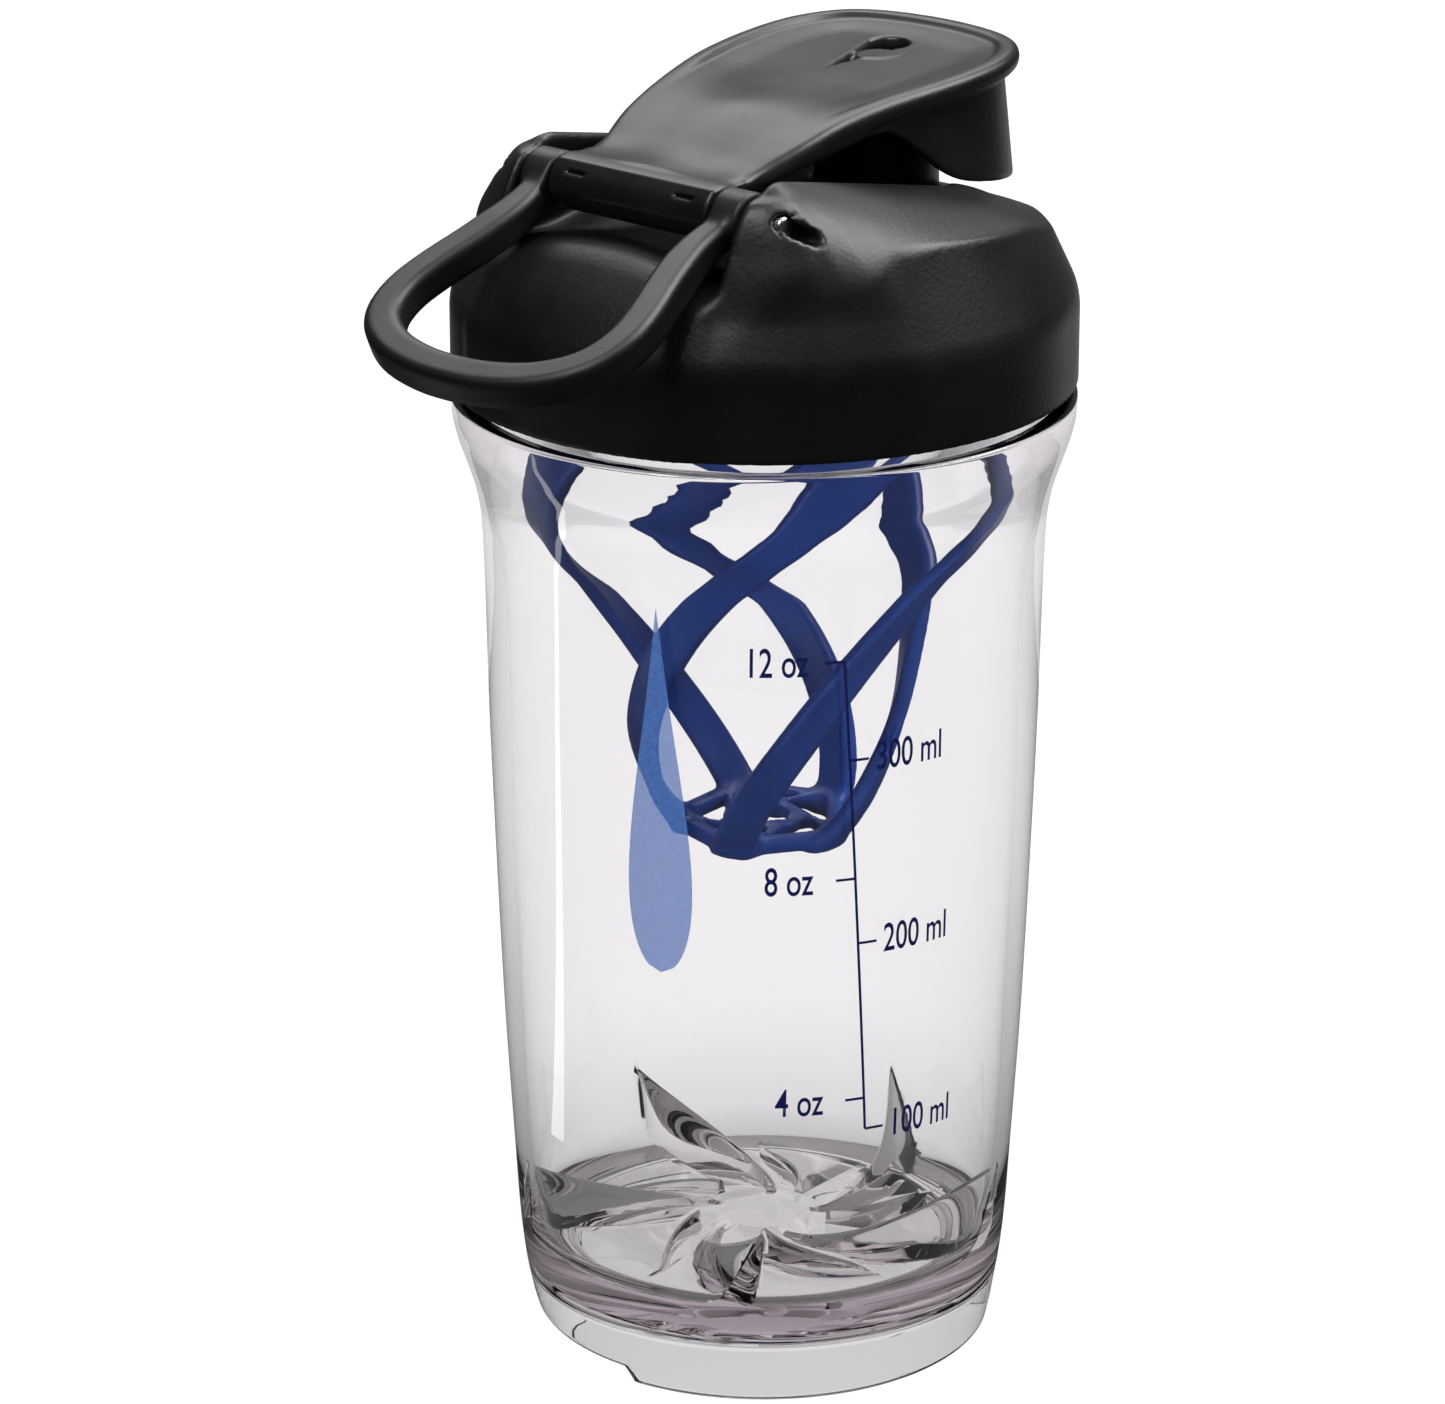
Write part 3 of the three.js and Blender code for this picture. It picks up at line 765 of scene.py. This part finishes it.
def refine(points, rounds):
    """Rounds an outline off by cutting its corners."""
    points = np.array(points, float)
    for _ in range(rounds):
        near = 0.75 * points[:-1] + 0.25 * points[1:]
        far = 0.25 * points[:-1] + 0.75 * points[1:]
        points = np.concatenate([points[:1], np.stack([near, far], 1).reshape(-1, 2), points[-1:]])
    return points


def both_sides(half, tip):
    """An outline from its right half, round the tip and back along the left."""
    return half + [(tip, 0.0)] + [(x, -y) for x, y in reversed(half)]


CAP_FINE = refine(both_sides(CAP_HALF, CAP_TIP_X), 2)


def cap_edge(x, y):
    """Signed distance from the cap's outline in plan, below zero inside."""
    along, across = np.array(CAP_HALF + [(CAP_TIP_X, 0.0)]).T
    half = np.interp(x, along, across, right=-1)
    inside = (np.abs(y) < half) & (x > CAP_BACK_X)
    distance = path_distance(x, y, CAP_FINE)
    return np.where(inside, -distance, distance)


def drop_shape(x, y, tip, round_end, radius):
    """Signed distance to a plain droplet: a circle drawn out to a point along x."""
    share = np.clip((x - tip) / (round_end - tip), 0, 1)
    return np.hypot(x - (tip + share * (round_end - tip)), y) - radius * share ** 1.2


def cap_plate(x, y, z, edge):
    """The spoon-shaped plate, dished inside its rim, with a droplet pressed into it."""
    deep = -edge
    dish = (0.75 * smooth_step(2.3, 3.7, deep) + 0.5 * smooth_step(3.2, 9, deep)) * smooth_step(-6, 10, x)
    swell = 0.5 * smooth_step(9, 0, np.abs(y) * 0.9) * smooth_step(4, -8, x)
    mark = 1.1 * smooth_step(0.2, -0.4, drop_shape(x, y - 1.5, 14.5, 27.5, 3.1))
    surface = cap_top(x) - dish + swell - mark
    plate = smooth_max(edge, (z - surface) / 1.06, 1.7)
    plate = smooth_max(plate, (cap_top(x) - CAP_THICK - z) / 1.06, 1.5)
    return smooth_max(plate, -25.6 - x, 0.6)


def cap_wall(x, z, edge):
    """The wall under the plate, which hangs down round the spout."""
    under = cap_top(x) - CAP_THICK
    inset = 0.35 + 1.75 * smooth_step(-4, 12, x) - 0.1 * np.maximum(0, under - z)
    wall = np.abs(edge + inset + 0.95) - 0.95
    wall = smooth_max(wall, z - under - 1.0, 0.4)
    wall = smooth_max(wall, (cap_low(x) - z) / 1.2, 0.7)
    return np.maximum(wall, -21 - x)


def cap_hub(x, y, z):
    """The hinge's barrel, with the square corner over it and the web that carries the plate."""
    barrel = np.hypot(x - HINGE_X, z - HINGE_Z) - BARREL_RADIUS
    chamfer = -(x + 26.1) * 0.88 + (z - 171.5) * 0.47
    corner = np.maximum(np.maximum(z - 171.5, -27.9 - x), chamfer)
    corner = np.maximum(np.maximum(corner, 167.2 - z), x + 20)
    web = np.maximum(168 + 0.28 * (x - HINGE_X) - z, z - cap_top(x) + 0.5)
    web = np.maximum(web, np.maximum(HINGE_X - x, x + 15.5))
    hub = smooth_min(smooth_min(barrel, corner, 0.5), web, 0.6)
    return smooth_max(hub, np.abs(y) - BARREL_HALF, 0.7)


def cap_slits(x, y, z):
    """Two short slits in the corner over the hinge."""
    along = (x + 26.95) * 0.7
    up = (z - 170.1) * 0.7
    beside = np.abs(np.abs(y) - 9.4) - 1.6
    return np.maximum(np.maximum(beside, np.abs(along - up) - 1.6), np.abs(along + up) - 0.24)


def cap_field(x, y, z):
    """Below zero inside the flip cap."""
    edge = cap_edge(x, y)
    solid = smooth_min(cap_plate(x, y, z, edge), cap_wall(x, z, edge), 0.8)
    solid = smooth_min(solid, cap_hub(x, y, z), 0.5)
    boss = np.hypot(x - SPOUT_X, y) - 3.0
    boss = np.maximum(boss, np.maximum(SPOUT_TOP_Z + 3.4 - z, z - 178.5))
    solid = smooth_min(solid, boss, 0.8)
    solid = smooth_max(solid, -cap_slits(x, y, z), 0.1)
    return smooth_max(solid, HINGE_HOLE - np.hypot(x - HINGE_X, z - HINGE_Z), 0.3)


def make_cap():
    mesh = net_mesh("flip_cap", cap_field, (-29, -22.4, 159.6), (40.6, 22.4, 183), 0.42)
    add_piece("cap_cover", mesh, "flip_cap", CAP_BLACK, ["flip_cap"])
    lip = SPOUT_TOP_Z + GAP
    plug = lathe(fillet([
        (0, lip - 1.8, 0), (5.4, lip - 1.8, 0.5), (6.1, lip - 0.6, 0.3), (6.1, lip, 0.15), (8.3, lip, 0.4),
        (8.3, lip + 1.6, 0.5), (6.8, lip + 3.0, 0.5), (0, lip + 3.0, 0),
    ]), 96, (SPOUT_X, 0))
    add_piece("cap_plug", solid_mesh("spout_seal", plug), "flip_cap", SILICONE, ["spout_seal"])


make_cap()


# ---- carry loop ----
LOOP_HALF = [
    (1.5, 16.3), (8, 15.4), (15.5, 16.7), (22.5, 18.8), (28.5, 19.6), (34.3, 17.8), (38.4, 12.4), (40.2, 5.5),
]
LOOP_LINE = refine(both_sides(LOOP_HALF, 40.5), 3)


def loop_field(u, v, n):
    """u runs out from the pin in the loop's plane, v along the pin and n across the plane."""
    from_pin = np.hypot(u, n)
    away = path_distance(u, v, LOOP_LINE)
    grow = smooth_step(2, 14, u)
    bar = rounded_box(away, n, 2.05 + 0.5 * grow, 2.15 + 0.3 * grow, 1.35)
    knuckle = smooth_max(from_pin - 3.7, np.abs(v) - KNUCKLE_HALF, 0.6)
    loop = smooth_min(np.maximum(bar, -u), knuckle, 1.6)
    room = BARREL_HALF + GAP - np.abs(v) - 100 * smooth_step(5.0, 5.6, from_pin)
    loop = smooth_max(loop, room, 0.3)
    return smooth_max(loop, HINGE_HOLE - from_pin, 0.3)


def loop_place(points):
    """From the loop's own plane to where it droops from the hinge."""
    u, v, n = points.T
    cos, sin = math.cos(LOOP_DROOP), math.sin(LOOP_DROOP)
    return np.stack([HINGE_X - u * cos - n * sin, v, HINGE_Z - u * sin + n * cos], 1)


def make_loop():
    points, faces = surface_net(loop_field, (-4.6, -23, -4.4), (45, 23, 4.4), 0.4)
    mesh = solid_mesh("carry_loop", (loop_place(points), faces.tolist()))
    add_piece("loop_handle", mesh, "carry_loop", LOOP_BLACK, ["carry_loop"])


def make_pin():
    ends = ((0, -PIN_SEEN, 0), (PIN_RADIUS, -PIN_SEEN, 0.55), (PIN_RADIUS, PIN_SEEN, 0.55), (0, PIN_SEEN, 0))
    points, faces = lathe(fillet(ends, 6), 40)
    lying = np.stack([points[:, 0] + HINGE_X, points[:, 2], points[:, 1] + HINGE_Z], 1)
    add_piece("pin_rod", solid_mesh("hinge_pin", (lying, faces)), "lid", STEEL, ["hinge_pin"])


make_loop()
make_pin()


# ---- mixing cage ----
CAGE_LOW, CAGE_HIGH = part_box("agitator")
CAGE_TOP_Z = CAGE_HIGH.z / MM
CAGE_RADIUS = (CAGE_HIGH.y - CAGE_LOW.y) / 2 / MM
RING_Z = 74.6                                        # middle of the bottom ring
TWIST_RATE = math.radians(109 / 57.8)                # how far a rib turns for each millimetre of height
RIB_FIRST = math.radians(-159)
RIB_GAP = 2 * math.pi / 5
rib_radius = curve_through([
    (73, 10.8), (75, 12.0), (77, 13.3), (80, 14.9), (85, 16.8), (91, 18.7), (98.4, 20.5), (106.5, 23),
    (115.5, 26.5), (125, 30.6), (131, 32.2), (136, CAGE_RADIUS - 1.2), (140, CAGE_RADIUS - 1.2),
])


def repeated(turn):
    """An angle measured from the nearest rib's."""
    return (turn + RIB_GAP / 2) % RIB_GAP - RIB_GAP / 2


def cage_rib(radius, turn, z):
    """The twisting ribs, which widen where they meet the top ring."""
    off = repeated(turn - RIB_FIRST - TWIST_RATE * (z - RING_Z))
    centre = rib_radius(z)
    lean = np.arctan(centre * TWIST_RATE)
    flare = rib_radius(z + 0.5) - rib_radius(z - 0.5)
    across = radius * np.sin(off) * np.cos(lean)
    out = (radius * np.cos(off) - centre) / np.sqrt(1 + flare ** 2)
    rib = rounded_box(across, out, 2.7 + 1.4 * smooth_step(126, 136, z), 1.15, 0.75)
    rib = smooth_max(rib, 73.2 - z, 1.0)
    return np.maximum(rib, z - CAGE_TOP_Z + 0.6)


def cage_base(radius, turn, z):
    """The five-sided bottom ring, with a small hub on curved spokes."""
    side = repeated(turn - RIB_FIRST)
    flat = radius * np.cos(np.abs(side) - RIB_GAP / 2)
    strut = rounded_box(flat - 9.9, z - RING_Z, 1.15, 1.15, 0.6)
    ring = smooth_max(strut, radius - 12.6, 1.0)
    hub = rounded_box(radius - 4.6, z - RING_Z, 1.0, 0.9, 0.5)
    bend = repeated(side - 0.65 * smooth_step(11.5, 4.5, radius))
    spoke = rounded_box(radius * np.sin(bend), z - RING_Z, 0.85, 0.85, 0.5)
    spoke = np.maximum(np.maximum(spoke, radius - 11), 4.2 - radius)
    return smooth_min(smooth_min(ring, hub, 0.8), spoke, 1.6)


def cage_field(x, y, z):
    """Below zero inside the mixing cage."""
    radius, turn = np.hypot(x, y), np.arctan2(y, x)
    top_ring = rounded_box(radius - CAGE_RADIUS + 1.2, z - CAGE_TOP_Z + 2.0, 1.2, 2.0, 0.5)
    return smooth_min(smooth_min(cage_rib(radius, turn, z), cage_base(radius, turn, z), 1.6), top_ring, 1.4)


def make_cage():
    mesh = net_mesh("agitator", cage_field, (-36, -36, 71.5), (36, 36, CAGE_TOP_Z + 1), 0.5)
    add_piece("mixing_cage", mesh, "agitator", BLUE, ["agitator"])


make_cage()


# ---- prints on the cup ----
def wrap(points, turn, height, proud=0.06):
    """Flat (across, up) points laid on the cup's wall, across to the right as seen from outside."""
    points = np.asarray(points, float)
    z = height + points[:, 1]
    radius = body_radius(z) + proud
    angle = math.radians(turn) + points[:, 0] / radius
    return np.stack([radius * np.cos(angle), radius * np.sin(angle), z], 1)


def ribbon(pairs):
    """Points and faces of a flat ribbon, from pairs of points along its two sides."""
    faces = [[2 * i, 2 * i + 2, 2 * i + 3, 2 * i + 1] for i in range(len(pairs) - 1)]
    return np.concatenate(pairs), faces


def letters(text):
    """The flat shape of a few characters, as points and faces about their middle, in millimetres."""
    curve = bpy.data.curves.new("letters", "FONT")
    curve.body = text
    curve.align_x, curve.align_y = "CENTER", "CENTER"
    curve.size = LABEL_SIZE
    curve.resolution_u = 6
    curve.offset = 0.045
    thing = bpy.data.objects.new("letters", curve)
    bpy.context.scene.collection.objects.link(thing)
    bpy.context.view_layer.update()
    mesh = bpy.data.meshes.new_from_object(thing.evaluated_get(bpy.context.evaluated_depsgraph_get()))
    bpy.data.objects.remove(thing)
    points = np.array([vertex.co[:2] for vertex in mesh.vertices]) * (LABEL_SQUEEZE, 1)
    return points, [list(face.vertices) for face in mesh.polygons]


FACING = VIEW_AZIMUTH - 90 - 360                     # the spot on the wall that faces the main camera
# each mark's label, height, and how many degrees its tick is round from that spot
OUNCES = [("12 oz", 110.05, 15.7), ("8 oz", 78.96, 18.2), ("4 oz", 46.38, 21.3)]
MILLILITRES = [("300 ml", 96.0, 17.3), ("200 ml", 69.47, 19.4), ("100 ml", 41.68, 22.2)]
SCALE_TOP, SCALE_BOTTOM = OUNCES[0], MILLILITRES[-1]
TICK = 2.7
LINE_WIDTH = 0.38
LABEL_SIZE = 4.2 / 0.72                              # the font's full size, for figures 4.2 mm tall
LABEL_SQUEEZE = 0.65


def scale_turn(z):
    """Where the scale's upright line is at a height, in degrees."""
    share = (SCALE_TOP[1] - z) / (SCALE_TOP[1] - SCALE_BOTTOM[1])
    return FACING + SCALE_TOP[2] + share * (SCALE_BOTTOM[2] - SCALE_TOP[2])


def print_scale():
    """The upright line, its ticks and their labels."""
    across = np.array([[-LINE_WIDTH / 2, 0], [LINE_WIDTH / 2, 0]])
    upward = across[:, ::-1]
    heights = np.linspace(SCALE_TOP[1], SCALE_BOTTOM[1], 60)
    parts = [ribbon([wrap(across, scale_turn(z), z) for z in heights])]
    for marks, side, away in ((OUNCES, -1, 9.1), (MILLILITRES, 1, 8.9)):
        for label, z, _ in marks:
            tick, tick_faces = ribbon([side * (upward + (TICK * share, 0)) for share in np.linspace(0, 1, 5)])
            parts.append((wrap(tick, scale_turn(z), z), tick_faces))
            shape, shape_faces = letters(label)
            parts.append((wrap(shape + (side * away, 0), scale_turn(z), z), shape_faces))
    add_piece("scale_print", mesh_from("scale_print", *gathered(parts)), "cup", NAVY_INK)


def print_drop():
    """A plain slender droplet, printed in a pale see-through blue."""
    tall, wide, middle, turn = 52.0, 5.6, 91.0, FACING - 22
    rows, columns = 60, 14
    points, faces = [], []
    for i in range(rows + 1):
        t = i / rows
        half = wide * math.sin(math.pi * t ** 0.62) ** 0.8 * (0.35 + 0.65 * (1 - t)) if 0 < t < 1 else 0.02
        for j in range(columns + 1):
            points.append((half * (2 * j / columns - 1), tall * (t - 0.5)))
    for i in range(rows):
        for j in range(columns):
            a = i * (columns + 1) + j
            faces.append([a, a + 1, a + columns + 2, a + columns + 1])
    mesh = mesh_from("drop_print", wrap(points, turn, middle), faces)
    add_piece("drop_print", mesh, "cup", PALE_INK)


print_scale()
print_drop()


# ---- studio ----
def view_vectors():
    """The directions from the bottle back to the main camera, and to the right in its view."""
    azimuth = math.radians(VIEW_AZIMUTH)
    back = Vector((math.sin(azimuth), -math.cos(azimuth), 0))
    right = Vector((math.cos(azimuth), math.sin(azimuth), 0))
    return back, right


def make_camera():
    """A long lens, a little above the bottle's middle."""
    elevation, distance = math.radians(19.74), 0.8071
    back, right = view_vectors()
    target = Vector((AXIS_X, 0, 0.09119)) - 0.005674 * right
    camera = bpy.data.objects.new("camera", bpy.data.cameras.new("camera"))
    bpy.context.scene.collection.objects.link(camera)
    camera.location = target + distance * (back * math.cos(elevation) + Vector((0, 0, math.sin(elevation))))
    camera.rotation_euler = (target - camera.location).to_track_quat("-Z", "Y").to_euler()
    camera.data.lens, camera.data.sensor_width = 145.46, 36
    camera.data.clip_start, camera.data.clip_end = 0.01, 50
    bpy.context.scene.camera = camera


def softbox(name, to_right, to_camera, up, width, height, power):
    """A rectangular lamp placed as the main view sees it, in metres, and aimed at the lid's foot."""
    back, right = view_vectors()
    data = bpy.data.lights.new(name, "AREA")
    data.shape, data.size, data.size_y, data.energy = "RECTANGLE", width, height, power
    lamp = bpy.data.objects.new(name, data)
    bpy.context.scene.collection.objects.link(lamp)
    lamp.location = Vector((AXIS_X, 0, 0)) + right * to_right + back * to_camera + Vector((0, 0, up))
    lamp.rotation_euler = (Vector((0, 0, 0.14)) - lamp.location).to_track_quat("-Z", "Y").to_euler()
    lamp.visible_transmission = False
    return lamp


def seen_directly(tree):
    """1 for rays from the camera, straight or refracted by the cup, and 0 once they have been reflected."""
    ray = tree.nodes.new("ShaderNodeLightPath").outputs
    unreflected = calculated(tree, "LESS_THAN", ray["Glossy Depth"], 0.5)
    refracted = calculated(tree, "MULTIPLY", ray["Is Transmission Ray"], unreflected)
    return calculated(tree, "MAXIMUM", ray["Is Camera Ray"], refracted)


def backdrop_glow(tree):
    """Bright towards the backdrop behind the bottle, for rays that leave the cup after a reflection."""
    back, _ = view_vectors()
    toward = tree.nodes.new("ShaderNodeTexCoord")
    facing = tree.nodes.new("ShaderNodeVectorMath")
    facing.operation = "DOT_PRODUCT"
    facing.inputs[1].default_value = -back
    tree.links.new(toward.outputs["Generated"], facing.inputs[0])
    ahead = calculated(tree, "MAXIMUM", facing.outputs["Value"], 0.0)
    narrow = calculated(tree, "POWER", ahead, 1.5)
    ray = tree.nodes.new("ShaderNodeLightPath").outputs
    peak = eased(tree, ray["Is Transmission Ray"], 0, 1, 0.14, 0.94)
    base = eased(tree, ray["Is Transmission Ray"], 0, 1, 0.015, 0.06)
    return calculated(tree, "ADD", calculated(tree, "MULTIPLY", narrow, peak), base)


def make_world():
    world = bpy.data.worlds.new("studio")
    bpy.context.scene.world = world
    world.use_nodes = True
    tree = world.node_tree
    dim = tree.nodes["Background"]
    tree.links.new(backdrop_glow(tree), dim.inputs["Color"])
    white = tree.nodes.new("ShaderNodeBackground")
    white.inputs["Color"].default_value = (1, 1, 1, 1)
    white.inputs["Strength"].default_value = 1.0
    glow = mixed(tree, seen_directly(tree), dim.outputs["Background"], white.outputs["Background"])
    tree.links.new(glow, tree.nodes["World Output"].inputs["Surface"])


def floor_glow(tree):
    """White beside the bottle; through the clear cup, greyer towards its foot as painted shade round the
    bottle; dimmer still after a reflection in it.
    """
    back, _ = view_vectors()
    ray = tree.nodes.new("ShaderNodeLightPath").outputs
    spot = tree.nodes.new("ShaderNodeTexCoord").outputs["Object"]
    away = tree.nodes.new("ShaderNodeVectorMath")
    away.operation = "DISTANCE"
    away.inputs[1].default_value = (AXIS_X, 0, 0)
    tree.links.new(spot, away.inputs[0])
    foot = FOOT_RADIUS * MM
    # painted shade: seen through the cup, the floor darkens from 0.93 far off to 0.60 round the bottle's foot
    through = eased(tree, away.outputs["Value"], foot * 0.6, foot * 4, 0.60, 0.93)
    behind = tree.nodes.new("ShaderNodeVectorMath")
    behind.operation = "DOT_PRODUCT"
    behind.inputs[1].default_value = -back
    tree.links.new(spot, behind.inputs[0])
    reflected = eased(tree, behind.outputs["Value"], -0.05, 0.2, 0.10, 0.85)
    dimmer = tree.nodes.new("ShaderNodeMix")
    dimmer.inputs["A"].default_value = 1.0
    tree.links.new(eased(tree, ray["Glossy Depth"], 0, 1, 0, 1), dimmer.inputs["Factor"])
    tree.links.new(reflected, dimmer.inputs["B"])
    level = tree.nodes.new("ShaderNodeMix")
    level.inputs["B"].default_value = 0.92
    tree.links.new(ray["Is Camera Ray"], level.inputs["Factor"])
    tree.links.new(calculated(tree, "MULTIPLY", through, dimmer.outputs["Result"]), level.inputs["A"])
    return level.outputs["Result"]


def make_floor():
    """A wide floor that glows for rays on their way to the camera and is dark for all others."""
    points = [(-3000, -3000, -0.4), (3000, -3000, -0.4), (3000, 3000, -0.4), (-3000, 3000, -0.4)]
    mesh = mesh_from("floor", points, [[0, 1, 2, 3]])
    material, tree, shader = new_material("floor_white", (0.03, 0.03, 0.03), 0.9, Specular_IOR_Level=0.0)
    shine = tree.nodes.new("ShaderNodeEmission")
    tree.links.new(floor_glow(tree), shine.inputs["Strength"])
    matt = tree.nodes.new("ShaderNodeBsdfDiffuse")
    matt.inputs["Color"].default_value = (0.10, 0.10, 0.10, 1)
    pale = tree.nodes.new("ShaderNodeAddShader")
    tree.links.new(shine.outputs["Emission"], pale.inputs[0])
    tree.links.new(matt.outputs["BSDF"], pale.inputs[1])
    ray = tree.nodes.new("ShaderNodeLightPath").outputs
    viewed = calculated(tree, "MAXIMUM", ray["Is Camera Ray"], ray["Is Transmission Ray"])
    surface = mixed(tree, viewed, shader.outputs["BSDF"], pale.outputs["Shader"])
    tree.links.new(surface, tree.nodes["Material Output"].inputs["Surface"])
    floor = bpy.data.objects.new("floor", mesh)
    bpy.context.scene.collection.objects.link(floor)
    mesh.materials.append(material)


def make_lights():
    softbox("back_box", -0.05, -0.66, 0.95, 0.80, 0.66, 6.6)
    softbox("key_box", 0.56, -0.12, 0.98, 0.62, 0.66, 13.0)
    softbox("front_box", -0.25, 0.42, 0.95, 0.50, 0.30, 5.0)
    fill_left = softbox("fill_left", -0.7, 0.9, 0.35, 0.5, 0.5, 6.5)
    fill_right = softbox("fill_right", 0.7, 0.9, 0.35, 0.5, 0.5, 6.5)
    fill_back = softbox("fill_back", 0.0, -1.0, 0.35, 0.6, 0.5, 6)
    for fill in (fill_left, fill_right, fill_back):
        fill.visible_glossy = False
    floor_card = softbox("floor_card", 0.25, -0.60, 0.004, 0.9, 0.7, 1.0)
    left_card = softbox("left_card", -0.27, 0, 0.003, 0.37, 0.013, 0.04)
    for card in (floor_card, left_card):
        card.rotation_euler = (math.pi, 0, math.radians(VIEW_AZIMUTH))
        card.visible_camera = False
        card.visible_diffuse = False


def render_settings():
    scene = bpy.context.scene
    scene.view_settings.view_transform = "Standard"
    scene.view_settings.look = "None"
    scene.cycles.max_bounces = 24
    scene.cycles.transmission_bounces = 20
    scene.cycles.transparent_max_bounces = 24
    scene.cycles.glossy_bounces = 5
    scene.cycles.diffuse_bounces = 3
    scene.cycles.sample_clamp_indirect = 4.0
    scene.cycles.use_denoising = True


make_camera()
make_world()
make_floor()
make_lights()
render_settings()
